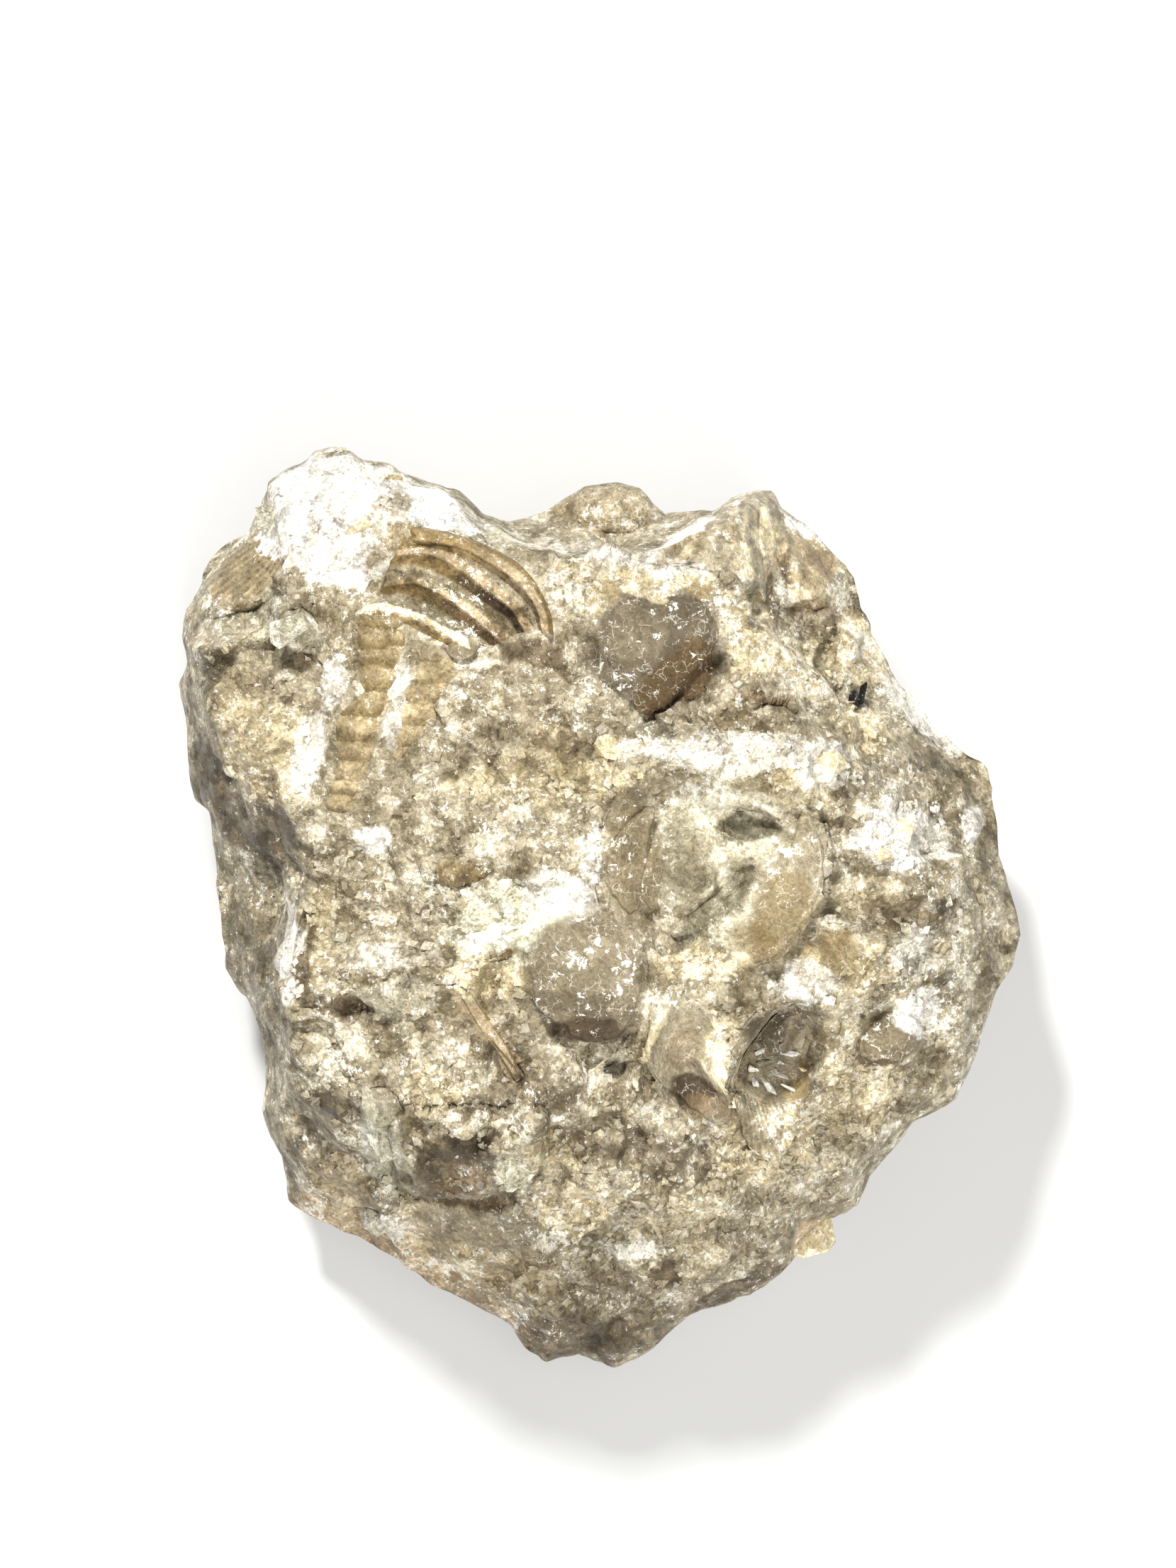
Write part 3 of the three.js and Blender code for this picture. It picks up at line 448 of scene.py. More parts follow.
# Larger crystals: place, half sizes, turn, colour and height of the middle.
CRYSTALS = [
    ((-26.7, 24.7), (2.3, 1.7, 1.4), 10, "ice", 0.5),
    ((-29.6, 35.2), (1.9, 1.4, 1.1), -20, "ice", 0),
    ((-27.2, 38.2), (2.4, 1.6, 1.2), 15, "white", 0),
    ((-23.2, 39.4), (2.2, 1.5, 1.2), -10, "white", 0.1),
    ((-19.4, 38.2), (2.4, 1.3, 1.1), -15, "cream", 0),
    ((-15.2, 36.8), (2.3, 1.2, 1), -20, "white", 0),
    ((-24.6, 35.6), (1.9, 1.5, 1), 30, "white", 0),
    ((-24.3, 32.3), (1.6, 1.2, 0.8), -25, "cream", 0),
    ((-27.2, 33.4), (1, 1.7, 0.8), -10, "dun", 0),
    ((-21.2, 33.6), (1.4, 1, 0.7), 20, "cream", 0),
    ((23.2, 19.6), (0.45, 1.1, 0.6), -12, "black", 0.1),
    ((22.1, 19.1), (0.35, 0.5, 0.4), 0, "black", 0.1),
    ((0.9, 14.6), (1.9, 1.4, 0.9), -10, "cream", -0.3),
    ((19.3, 13), (1.9, 1.5, 1.2), 20, "cream", -0.6),
    ((26.4, 7.2), (1.7, 1.3, 1), 35, "cream", -0.3),
    ((24.2, 5.6), (1.2, 1, 0.8), -20, "cream", -0.2),
    ((29.6, 4.2), (1.2, 0.9, 0.7), 10, "ice", 0),
    ((-19, -15.6), (1.7, 2.7, 1.1), 6, "ice", -0.2),
    ((-18.6, -19.4), (1.9, 2.1, 1), -12, "ice", -0.3),
    ((-18.2, -7.2), (1.7, 1.2, 0.8), 12, "ice", 0),
    ((-20.4, -28.2), (1.8, 1.4, 0.9), -20, "ice", 0),
    ((-12, -14.4), (1, 0.8, 0.6), 25, "cream", 0.1),
    ((-10.6, -15.2), (0.8, 0.9, 0.6), -15, "white", 0.1),
    ((-13.6, -13.2), (1.2, 0.8, 0.6), 50, "white", 0),
    ((16.2, -12), (1.2, 0.3, 0.35), -4, "white", 1.4),
    ((15.9, -12.9), (1, 0.24, 0.3), -14, "white", 1.4),
    ((15.4, -13.9), (1.1, 0.3, 0.3), -24, "white", 1.2),
    ((16.2, -14.9), (1.1, 0.26, 0.3), -34, "white", 0.8),
    ((14.6, -15), (1, 0.3, 0.3), -46, "white", 0.8),
    ((13.9, -11.8), (0.7, 0.4, 0.35), 34, "white", 1.3),
    ((14.2, -12.8), (0.8, 0.3, 0.3), 6, "ice", 1.3),
    ((15, -12.4), (0.9, 0.28, 0.3), -8, "ice", 1.4),
    ((14.8, -13.4), (0.9, 0.26, 0.3), -22, "ice", 1.2),
    ((15.4, -11.2), (0.7, 0.25, 0.3), 12, "ice", 1.4),
    ((14.2, -14.2), (0.8, 0.28, 0.3), -40, "ice", 1),
    ((13.2, -13.4), (0.6, 0.4, 0.35), -30, "white", 0.7),
    ((13.4, -14.6), (0.7, 0.3, 0.3), -60, "white", 0.7),
    ((17.4, -13.4), (0.6, 0.2, 0.25), -16, "cream", 0.8),
    ((19.1, -29.5), (2.4, 2.8, 0.8), -20, "cream", -0.1),
]
CRYSTAL_CORNERS = 13
BOX_SIDES = [(0, 2, 3, 1), (4, 5, 7, 6), (0, 1, 5, 4), (2, 6, 7, 3), (0, 4, 6, 2), (1, 3, 7, 5)]
BOX_CORNERS = 8

# Loose-looking crystals of spar: count, seed, least and most size, the share of it
# that is sunk, their colours and how much they take on the rock's.
GRAIN_COUNT, GRAIN_SEED = 5200, 11
GRAIN_LEAST, GRAIN_MOST, GRAIN_SUNK = 0.25, 0.9, 0.25
GRAIN_COLOURS = ("white", "white", "cream", "honey", "ice", "tan", "dun")
GRAIN_TINT = 0.75

# How rare large ones are, their proportions and skew, and the marks of both kinds
# of crystal.
GRAIN_SMALLNESS, GRAIN_PROPORTIONS, GRAIN_SKEW = 2.5, (0.6, 1.2), (0.28, 0.2)
GRAIN_MARKS, CRYSTAL_MARKS = (0.55, 0.5, 0.45), (0.2, 0.5, 0.45)

# They lie on rough, bare and level rock off the rim, and more of them on the front.
BARE_ROUGHNESS, BARE_SEAT, BARE_SLOPE, BARE_RIM = 0.7, 0.1, 0.5, 0.5
FRONT_GRAINS, GRAIN_FRONT = (1, 3), (-10, -18)

# Meshes of the fossils, how far their edges, undersides and seats lie down, and the
# share of a skin's own smoothness over that of the tints on it.
SKIN_RINGS, SKIN_SECTORS, SKIN_STEPS = 44, 288, 40
SKIN_SINK, SHEET_DEPTH, SEAT_DEPTH, SEAT_EDGE = 0.45, 2.2, 1.2, (0.7, 1.3)
SKIN_OWN_SMOOTHNESS = 0.6

# Roughness of a dull and of a smooth skin, and where its edge sinks. Skins come out
# of the rock towards their lower ends.
SKIN_ROUGHNESS, SKIN_RIM = (0.2, 0.05), (0.9, 1)
SKIN_BURIED, SKIN_EMERGES = 0.15, (0.5, -0.6)

# -------------------------------------------------------------------- colours

COLOURS = {
    "cream": "#d8ccac", "tan": "#a8946c", "brown": "#87745a", "umber": "#7d6541",
    "drab": "#9c8f73", "grey": "#a8a28c", "white": "#edeada", "silt": "#cbc7b4",
    "slate": "#77735f", "taupe": "#7f735e", "dun": "#9c917a", "honey": "#e8e0c6",
    "gold": "#c2a266", "clay": "#bba889", "rust": "#a28a6c", "black": "#2a221a",
    "ice": "#c0bdaf", "blush": "#cdb79a", "pearl": "#b3aa94", "bark": "#6a5439",
    "ochre": "#a18a5e", "fawn": "#c2b292", "olive": "#8e7e5b",
}
ROCK_COLOUR = "#b9b19d"

# How much further than the colours tints stand from the rock, and the brightest.
TINT_CONTRAST, TINT_LIMIT = 1.6, 0.93

# Tints fade on steep faces, and outwards from full, which is nearer for smooth ones.
TINT_SLOPE, TINT_FULL, SMOOTH_FULL, TINT_END = 0.4, 0.8, 0.5, 1.15

# Coloured places: middle, half sizes, turn, colour, smoothness and strength. The
# first rows, named light and shade, are painted light and painted shade over the
# plain rock, partly its own paler and darker tone; later rows lie over earlier ones.
TINTS = {
    "light above dome": ((-0.8, 29), (3.6, 3), 0, "cream", 0, 0.5),
    "light by hollow": ((13.2, 22.6), (3, 2), 0, "cream", 0, 0.6),
    "light at right": ((22.9, 16.5), (3, 2.4), -40, "cream", 0, 0.7),
    "light over valve": ((15, 11.4), (5, 1.8), -6, "cream", 0, 0.8),
    "light below cavity": ((14, -20), (5, 3.6), 30, "cream", 0, 0.55),
    "light low right": ((22.6, -16), (4, 3.6), 30, "cream", 0, 0.6),
    "light front": ((-2.4, -25.8), (3.6, 2.6), 10, "cream", 0, 0.9),
    "light front right": ((7, -26.4), (4.4, 2), 20, "cream", 0, 0.4),
    "light front left": ((-12, -30.4), (9, 4), -24, "cream", 0.1, 0.6),
    "shade under dome": ((12.4, 16.2), (3.4, 1.5), -8, "drab", 0, 0.7),
    "shade low of axis": ((-18.2, 5.6), (3.4, 2.4), 0, "drab", 0, 0.25),
    "shade left mid": ((-14.6, -5.4), (4, 1.6), 0, "drab", 0, 0.6),
    "shade by sliver": ((-8.6, -10.4), (4.4, 2.2), -20, "brown", 0, 0.3),
    "shade right mid": ((18, -3.6), (2.4, 2.4), 0, "drab", 0, 0.5),
    "light right": ((21.4, -4.4), (4.6, 2.2), 0, "cream", 0, 0.7),
    "light far right": ((23.4, 2), (3, 2), 0, "cream", 0, 0.3),
    "light by lobe": ((18.4, 21.8), (3.6, 2.6), -20, "cream", 0, 0.6),
    "light under fold": ((12.4, 26), (3, 2.4), 0, "cream", 0, 0.4),
    "light under spar": ((-9.6, -5), (3.6, 2), 0, "cream", 0, 0.8),
    "light low": ((7, -31), (4.5, 2), 25, "cream", 0, 0.4),
    "shade at foot": ((-3, -39), (7, 2.6), 0, "brown", 0, 0.7),
    "shade low front": ((-7.6, -31.4), (4, 2.4), 0, "brown", 0, 0.3),
    "shade by flank": ((-4.4, 19.8), (2.2, 3.2), 0, "drab", 0, 0.5),
    "shade by dome": ((-7, 17), (5, 2), 0, "drab", 0, 0.5),
    "light by dome": ((-5, 11.8), (8, 2.2), 0, "cream", 0, 0.6),
    "shade mid low": ((-7, -15), (4.6, 2), 0, "brown", 0, 0.5),
    "light low mid": ((-4.4, -20.6), (2.8, 1.8), 0, "cream", 0, 0.7),
    "light by crystals": ((-14.6, -14.8), (2.8, 2.2), 0, "cream", 0, 0.5),
    "light by blade": ((-24.8, -1.4), (1.8, 4.4), 0, "cream", 0, 0.5),
    "light left": ((-31.4, 20), (2, 5), 0, "cream", 0, 0.5),
    "light mid right": ((20.8, -11), (2, 3), 0, "cream", 0, 0.5),
    "shade low mid": ((5, -20.6), (4.6, 2.2), -10, "brown", 0, 0.6),
    "shade low left": ((-25, -20.5), (3, 3), 0, "umber", 0, 0.5),
    # Painted warm reflected light along the lower left edge.
    "painted warm reflection on low edge": ((-18.6, -32.4), (12.6, 2.4), -31, "blush", 0.2, 0.9),
    "front rim shade": ((0.8, -37.5), (21.2, 5.8), 0, "brown", 0, 0.3),
    "front flat break": ((-16, -30.2), (10.9, 3.8), -25, "fawn", 0.3, 0.5),
    # The left side face: its own brown, partly painted shade on the face turned from the light.
    "left side": ((-31.5, 10), (3.8, 7.5), 35, "umber", 0, 0.7),
    "left side low": ((-32.2, -2.8), (2.6, 12.2), 10, "drab", 0, 0.5),
    "left shell": ((-31.2, 30.4), (4.8, 3.1), 35, "tan", 0.5, 0.75),
    "grey knob": ((-26.7, 24.6), (2.1, 1.6), 0, "ice", 1, 0.9),
    "knob shade": ((-27, 22.2), (2.6, 0.5), -12, "umber", 0.2, 0.8),
    "left slab": ((-36.3, 12.5), (1.2, 3.1), 0, "umber", 0.6, 0.9),
    "left facet": ((-29.4, 14.3), (5.2, 4.9), -40, "cream", 0.2, 0.6),
    "gap below shell": ((-29.6, 23.9), (4.3, 3.4), 0, "grey", 0.2, 0.6),
    # Painted shadow under the terrace ledge.
    "painted shadow under terrace": ((-30.6, 20.2), (3, 1.1), 10, "umber", 0, 0.4),
    "white spar": ((-23.5, 36.7), (7.1, 4.2), 0, "white", 0, 1),
    "white spar right": ((-15.5, 36.5), (5.9, 3), -15, "white", 0, 1),
    "white spar left": ((-27.7, 34), (3.1, 2.6), 20, "white", 0, 0.9),
    "white spar front": ((-22.7, 31), (4.6, 2.2), 0, "white", 0, 0.7),
    "tan patch in spar": ((-18.8, 34.7), (1.9, 2.1), 0, "fawn", 0, 0.6),
    "tan wall by ribs": ((-18.6, 32), (2.4, 1), 40, "fawn", 0, 0.6),
    "lens crystal": ((-12.1, 23.2), (1.8, 1.2), 0, "dun", 1, 1),
    "white by axis": ((-23.2, 20.4), (1.2, 2.6), -10, "white", 0, 0.5),
    "white by axis low": ((-25.1, 14.3), (1.3, 3.8), -12, "white", 0, 0.65),
    "blade": ((-26.8, -3), (0.8, 4.6), 8, "white", 0.7, 0.9),
    "blade shade": ((-25.4, -3.6), (0.6, 4), 6, "brown", 0, 0.7),
    "sliver": ((-9.7, -10), (4.8, 0.7), -56, "clay", 0.6, 0.9),
    "curved rib": ((-12, 3.4), (3.4, 0.6), 6, "ochre", 0.4, 0.85),
    "furrow": ((-17.5, 20.1), (0.9, 2.2), 5, "white", 0, 0.35),
    "furrow low": ((-18.1, 16.4), (1, 2), 20, "white", 0, 0.4),
    "white fleck": ((-19.7, 6.7), (1.7, 1.1), 10, "white", 0, 0.8),
    "dark by ribs": ((-5.7, 22.7), (3.4, 1.2), -5, "umber", 0, 0.7),
    "tan middle": ((-4.2, 14.3), (2.7, 2.4), 0, "tan", 0.4, 0.5),
    "domed shell": ((4.7, 23.3), (6.4, 6), 0, "taupe", 0.9, 0.95),
    # The lower face and hem of the domed shell: its own brown, partly painted shade.
    "domed shell foot in shade": ((6.4, 20.6), (4.4, 2.6), 42, "umber", 1, 0.95),
    "domed shell hem in shadow": ((4.2, 18.9), (1.8, 1.2), 0, "umber", 1, 0.7),
    "dome light": ((2.6, 24.6), (3, 2.4), 20, "dun", 0.8, 0.5),
    "dome brown left": ((1.2, 28.2), (0.9, 1.2), 0, "tan", 0.8, 0.7),
    "dome brown right": ((8.2, 28.1), (1, 0.9), 0, "tan", 0.8, 0.7),
    "dome top": ((4.7, 28.8), (3.6, 1.4), 0, "cream", 0, 0.6),
    # Painted shadow under the overhang of the domed shell.
    "shadow under dome": ((5.2, 17.7), (0.9, 0.4), 30, "umber", 0, 0.8),
    "green under dome": ((4.5, 16), (2.2, 0.9), -5, "slate", 0.3, 0.6),
    "back hump": ((0.7, 36.4), (5.1, 2.8), 0, "fawn", 0.6, 0.6),
    "bright flank": ((1.9, 31.4), (8, 1.1), -12, "white", 0, 0.55),
    "folded shell": ((12.4, 32.2), (4.4, 4.6), 0, "pearl", 0.5, 0.9),
    "fold tan": ((11.2, 33.2), (1, 1.3), 0, "tan", 0.6, 0.7),
    "folded shell lobe": ((18.2, 30.6), (3, 3.6), 25, "fawn", 0.5, 0.8),
    "lobe top": ((17.6, 35.3), (2, 1), -45, "white", 0, 0.7),
    "fold pale left": ((12.1, 30.6), (1.3, 2.2), 8, "cream", 0.3, 0.7),
    "fold pale middle": ((14.5, 33.6), (1, 2.3), -8, "cream", 0.3, 0.8),
    # Painted shade in the crease between the lobes of the folded shell.
    "fold crease shade": ((14.7, 28.4), (0.4, 1.8), 4, "umber", 0.5, 0.8),
    "fold dark right": ((16.6, 30.4), (0.5, 2.6), -6, "brown", 0.5, 0.7),
    # Painted shadow under the hem of the folded shell.
    "shadow under fold hem": ((12.9, 28.4), (1, 0.5), 0, "slate", 0.5, 0.6),
    "ridge line": ((8.2, 34.2), (5.4, 0.5), 34, "white", 0.6, 0.8),
    "left wing": ((7.6, 32.2), (3.4, 0.9), 34, "tan", 0.6, 0.5),
    "bright rim right": ((28.4, 19.6), (7, 1.9), -52, "white", 0, 0.65),
    "cream right": ((23.4, 23.8), (3.6, 2.4), -40, "cream", 0, 0.7),
    "rust spot": ((19.4, 31.4), (1.5, 1.3), -30, "rust", 0.5, 0.6),
    # Painted shadow under the lower edge of the right lobe.
    "shadow under lobe": ((19.7, 26.9), (2.8, 0.8), 0, "rust", 0, 0.6),
    # Painted shadow under the shelf over the pit.
    "shadow of shelf over pit": ((13.8, 18.7), (2.7, 0.6), 0, "rust", 0, 0.7),
    "black grain": ((23.3, 19.6), (0.6, 1.1), 0, "black", 0.6, 1),
    "valve silt": ((10.1, 5.4), (5.8, 7.3), 0, "silt", 0.3, 0.85),
    "silt shade": ((6.4, 4.4), (2.6, 4), 0, "grey", 0.3, 0.7),
    "valve left rim": ((-1, 3.8), (1.2, 4.4), 0, "white", 0, 0.7),
    # Painted shade in the pit under its roof.
    "valve pit": ((13.1, 7.7), (2.7, 1.1), -10, "slate", 0, 0.7),
    # Painted shadow below the silt band's ridge.
    "valve ridge shadow": ((10, 1), (4.8, 1.3), 43, "slate", 0, 0.5),
    "valve rim": ((10.3, 14.2), (7.9, 1.3), -3, "white", 0, 0.5),
    "valve left": ((2.6, 5.4), (2.4, 5.8), 0, "drab", 0.9, 0.95),
    "valve right": ((16, 1.8), (3.2, 6.6), -14, "pearl", 0.9, 0.9),
    "valve right low": ((15.6, 0.6), (2.6, 3.8), -25, "tan", 0.9, 0.65),
    "valve right foot": ((13.2, -2), (2.6, 1.8), -35, "ochre", 0.9, 0.7),
    "tan chip": ((20.3, -2.9), (1.5, 1.9), -10, "tan", 0.8, 0.8),
    "white right": ((19.2, 13.1), (2.4, 1.9), 0, "white", 0, 0.7),
    "white far right": ((26.6, 7), (4, 2.9), 0, "white", 0, 0.8),
    "white right low": ((27.2, -3.2), (2, 2.6), 0, "white", 0, 0.4),
    "white edge right": ((33, 7.8), (1.6, 1.6), 0, "white", 0, 0.7),
    "yellow spar": ((-8.2, -0.7), (5.4, 3.5), 15, "honey", 0, 0.95),
    "yellow spar top": ((-3.9, 2.3), (3.1, 2), -20, "white", 0, 0.6),
    "yellow edge": ((-9.8, -3.4), (2.8, 0.4), 3, "gold", 0, 0.7),
    "centre shell": ((-1.4, -4.8), (5.6, 6.4), -15, "dun", 0.9, 0.95),
    # The lower part and foot of the centre shell: its own brown, partly painted shade.
    "centre shell low": ((-1.4, -7.4), (4.6, 1.6), -5, "taupe", 0.9, 0.6),
    "centre shell foot in shade": ((-1.2, -9.4), (3.5, 1.3), 0, "bark", 0.5, 0.85),
    "white left mid": ((-17.6, -3.4), (3.4, 1.3), 0, "white", 0, 0.25),
    "grey crystals mid": ((-17.8, -6.9), (3.6, 1.8), 0, "ice", 0.5, 0.7),
    "dark left mid": ((-22.5, -7.6), (1.9, 1.2), 0, "umber", 0, 0.8),
    "dark left low": ((-22.6, -16.4), (2.3, 1.6), 0, "umber", 0, 0.55),
    "cup shell": ((7.2, -11.4), (3.6, 5.2), 18, "pearl", 0.9, 0.95),
    "cup warm": ((6.9, -11.1), (1.8, 2), 0, "rust", 0.9, 0.5),
    "cup floor": ((7.8, -14.9), (2.6, 1.5), -10, "bark", 0.9, 0.9),
    "cup low": ((9.6, -16.5), (2.4, 1.1), -15, "rust", 0.9, 0.7),
    "cup left ridge": ((4.4, -10), (2.7, 0.45), 65, "cream", 0.6, 0.8),
    "cup right edge": ((10.1, -14.3), (2.8, 0.32), -48, "cream", 0.6, 0.9),
    "cup wall": ((11, -11.8), (1.8, 3.4), 20, "cream", 0.2, 0.75),
    # The dark inside of the cavity: brown, partly painted shade in the hollow.
    "cavity": ((15.2, -10.2), (2.8, 2.6), -25, "bark", 0.8, 0.95),
    "cavity floor": ((13.6, -13), (2, 2), 30, "bark", 0.4, 0.6),
    "cavity wall": ((17, -14.2), (1.4, 2.4), 0, "tan", 0.6, 0.9),
    # Brown under the cavity's roof, partly painted shadow.
    "cavity roof": ((18, -8.1), (1.4, 0.6), 0, "brown", 1, 0.8),
    "cavity ribs": ((14, -18), (2.2, 2.6), 0, "pearl", 0.4, 0.8),
    "white above cup": ((9.1, -3.9), (4.2, 1.5), 0, "cream", 0, 0.8),
    "white above cavity": ((17.6, -5.6), (2.7, 1.8), 0, "white", 0, 0.6),
    "small shell": ((25.2, -10.6), (3.3, 2.6), 0, "drab", 0.7, 0.9),
    "shade of small shell": ((24.6, -12.9), (2.1, 0.35), 0, "umber", 0.3, 0.8),
    "white by small shell": ((27.6, -8.4), (2.4, 2.2), 0, "white", 0, 0.9),
    "pit right": ((28.6, 1.1), (1.2, 0.7), 0, "black", 0, 0.7),
    "pit right low": ((30, -5.4), (1.2, 0.7), 35, "black", 0, 0.6),
    "brown right": ((26.4, 0.6), (3.7, 1.4), 0, "brown", 0, 0.5),
    "grey crystals": ((-18.9, -19.6), (1.8, 5.4), 0, "ice", 0.5, 0.9),
    "grey face": ((-23.4, -24.1), (3.8, 2.4), -15, "fawn", 0.3, 0.6),
    "white face": ((-19.4, -28), (2.3, 1.9), 0, "white", 0, 0.7),
    "brown ledge": ((-12.2, -21.6), (3.8, 2.8), 0, "umber", 0, 0.75),
    "brown ledge middle": ((-11.4, -20.8), (2.1, 1.9), -30, "bark", 0.1, 0.55),
    "brown ledge edge": ((-13.4, -23.8), (3.4, 0.7), 0, "rust", 0, 0.6),
    "honey end of ledge": ((-7.2, -22.6), (1.6, 2), 0, "honey", 0, 0.6),
    "face under ledge": ((-11, -27.6), (6, 2.4), -6, "dun", 0.35, 0.7),
    "shadow of ledge": ((-12, -25.3), (5, 0.6), 0, "umber", 0, 0.8),
    "brown front": ((-0.9, -20), (3.7, 1.3), 0, "brown", 0, 0.5),
    "dark front": ((5.5, -32.1), (1.4, 1.6), -20, "umber", 0, 0.8),
    "brown low right": ((13.6, -34.1), (4.8, 1.5), 25, "umber", 0, 0.6),
    "white low": ((2.3, -29.9), (2.8, 1), 10, "white", 0, 0.6),
    "flake": ((19.6, -30.3), (2.3, 2.9), 0, "blush", 0.9, 1),
    "crack": ((0.9, -12.7), (0.3, 1), 30, "black", 0, 0.6),
}

# ---------------------------------------------------------- looks of the stone

# Millimetres of the stone's grain in a metre: it is longer up the sides. Below a
# place on the front, it is drawn out.
GRAIN_SCALE = (1000, 1000, 550)
LONG_BELOW, LONG_STRETCH = -12.0, 0.75
SWIRL_SCALE, SWIRL_DETAIL, SWIRL_REACH = 1.4, 4.0, 1.1

# Noises of the grain: size, detail and roughness.
GRAIN_NOISES = {
    "mist": (4.5, 4.0, 0.65),
    "fine": (0.34, 3.0, 0.7),
    "vein gaps": (1.4, 4.0, 0.7),
    "rock powder": (0.6, 6.0, 0.85),
    "shell powder": (1.0, 5.0, 0.72),
    "specks": (0.55, 6.0, 0.85),
    "relief": (0.4, 5.0, 0.65),
    "floor": (0.06, 2.0, 0.55),
}
CELLS = {"patches": 1.7, "grains": 0.8, "veins": 0.9, "large facets": 1.6, "small facets": 0.6}

# Spans: two values, and what is made of them.
SPANS = {
    "mist": (0.36, 0.64, 0, 1),
    "tones on shell": (0, 1, 0, 0.6),
    "tones on pale rock": (0.5, 0.9, 0, 0.2),
    "fine tones": (0.3, 0.7, 0.95, 2.75),
    "fine tones on shell": (0, 1, 1, 0.75),
    "cracks": (0.04, 0.015, 0, 0.5),
    "vein gaps": (0.48, 0.58, 0, 1),
    "flakes": (0.4, 0.7, 0, 1),
    "powder in mist": (0.3, 0.7, -0.09, 0.09),
    "powder on pale rock": (0.1, 0.75, -0.06, 0.05),
    "powder by marks": (0, 1, -0.16, 0.16),
    "powder": (0.572, 0.592, 0, 1),
    "specks in mist": (0.3, 0.7, -0.08, 0.08),
    "specks": (0.38, 0.31, 0, 1),
    "specks on rock": (0, 1, 0.1, 0.85),
    "specks on pale rock": (0.55, 0.85, 1, 0.25),
    # Painted shade, deeper where the surface lies lower.
    "hollows": (0.5, 0.1, 0, 0.5),
    "relief on rock": (0, 1, 0.08, 1),
    "gloss": (0, 1, 0.35, 0.8),
    "floor": (0.3, 0.7, 0.6, 0.64),
}
# The hollow colour is painted shade, laid over low places of the stone.
STONE_COLOURS = {
    "mist": "#a8a294", "patch": "#bdb7a9", "grain": "#bfbbb1", "shell": "#dbd8d1",
    "full": "#ffffff", "powder": "#fbf8ec", "vein": "#efe8d6", "speck": "#43372a",
    "hollow": "#8d8068",
}

# Strength of the powder, heights of the facets and of the fine relief, reach of the
# bump in metres, and gloss. Half is the middle of a noise's or a cell's colour.
POWDER_STRENGTH, HALF = 0.95, (0.5, 0.5, 0.5)
LARGE_FACETS, SMALL_FACETS, FINE_RELIEF, RELIEF_REACH = 0.6, 0.9, 0.3, 0.001
SPECULAR = 0.3

# ------------------------------------------------------------------ arithmetic


def mix(a, b, share):
    return a + (b - a) * share


def smooth_step(low, high, value):
    share = np.clip((value - low) / (high - low), 0, 1)
    return share * share * (3 - 2 * share)


def linear_colour(code):
    """Linear red, green and blue of a colour written as #rrggbb."""
    parts = np.array([int(code[i:i + 2], 16) / 255 for i in (1, 3, 5)])
    return np.where(parts <= 0.04045, parts / 12.92, ((parts + 0.055) / 1.055) ** 2.4)


def reach(outline, angle):
    """Distance from the origin to a closed outline in the given directions."""
    ends = np.roll(outline, -1, axis=0)
    share = np.linspace(0, 1, OUTLINE_STEPS, endpoint=False)[None, :, None]
    points = mix(outline[:, None], ends[:, None], share).reshape(-1, 2)
    around = np.arctan2(points[:, 1], points[:, 0]) % math.tau
    order = np.argsort(around)
    distance = np.hypot(points[:, 0], points[:, 1])
    return np.interp(angle % math.tau, around[order], distance[order], period=math.tau)


def rim_height(angle):
    return np.interp(np.degrees(angle) % 360, RIM_HEIGHT[:, 0], RIM_HEIGHT[:, 1])


def patch_share(x, y, at, size, turn, corners=2):
    """0 in the middle of a rounded patch and 1 on its edge."""
    turn = math.radians(turn)
    dx, dy = x - at[0], y - at[1]
    along = (dx * math.cos(turn) + dy * math.sin(turn)) / size[0]
    across = (dy * math.cos(turn) - dx * math.sin(turn)) / size[1]
    return np.abs(along) ** corners + np.abs(across) ** corners


def line_place(x, y, points):
    """Distance in plan to a line, its side (1 on the left) and the share along it."""
    nearest = np.full(np.shape(x), np.inf)
    side = np.zeros(np.shape(x))
    along = np.zeros(np.shape(x))
    count = len(points) - 1
    for i, ((ax, ay), (bx, by)) in enumerate(zip(points[:-1], points[1:])):
        length_squared = (bx - ax) ** 2 + (by - ay) ** 2
        share = np.clip(((x - ax) * (bx - ax) + (y - ay) * (by - ay)) / length_squared, 0, 1)
        gap = np.hypot(x - mix(ax, bx, share), y - mix(ay, by, share))
        closer = gap < nearest
        turn = np.sign((bx - ax) * (y - ay) - (by - ay) * (x - ax))
        nearest = np.where(closer, gap, nearest)
        side = np.where(closer, turn, side)
        along = np.where(closer, (i + share) / count, along)
    return nearest, side, along


def faded_ends(along, start, full, empty, end):
    """A strength that rises from the start to full and falls from there to the end."""
    return smooth_step(start, full, along) * (1 - smooth_step(empty, end, along))


def line_ends(along):
    return faded_ends(along, 0, LINE_FADE, 1 - LINE_FADE, 1)


# ----------------------------------------------------------- height of the top


def body_height(x, y):
    """Height of the low dome where the breaks have cut it away."""
    from_centre = (x - DOME_AT[0]) ** 2 + (y - DOME_AT[1]) ** 2
    total = np.exp(-(DOME_HEIGHT - DOME_FALL * from_centre) / BREAK_BLEND)
    for faces in BREAKS:
        heights = []
        for (ax, ay, az), downhill, fall in faces:
            turn = math.radians(downhill)
            run = (x - ax) * math.cos(turn) + (y - ay) * math.sin(turn)
            heights.append(az - fall * run)
        highest = np.clip(np.max(heights, axis=0), BREAK_LEAST, BREAK_MOST)
        total = total + np.exp(-highest / BREAK_BLEND)
    return -BREAK_BLEND * np.log(total)


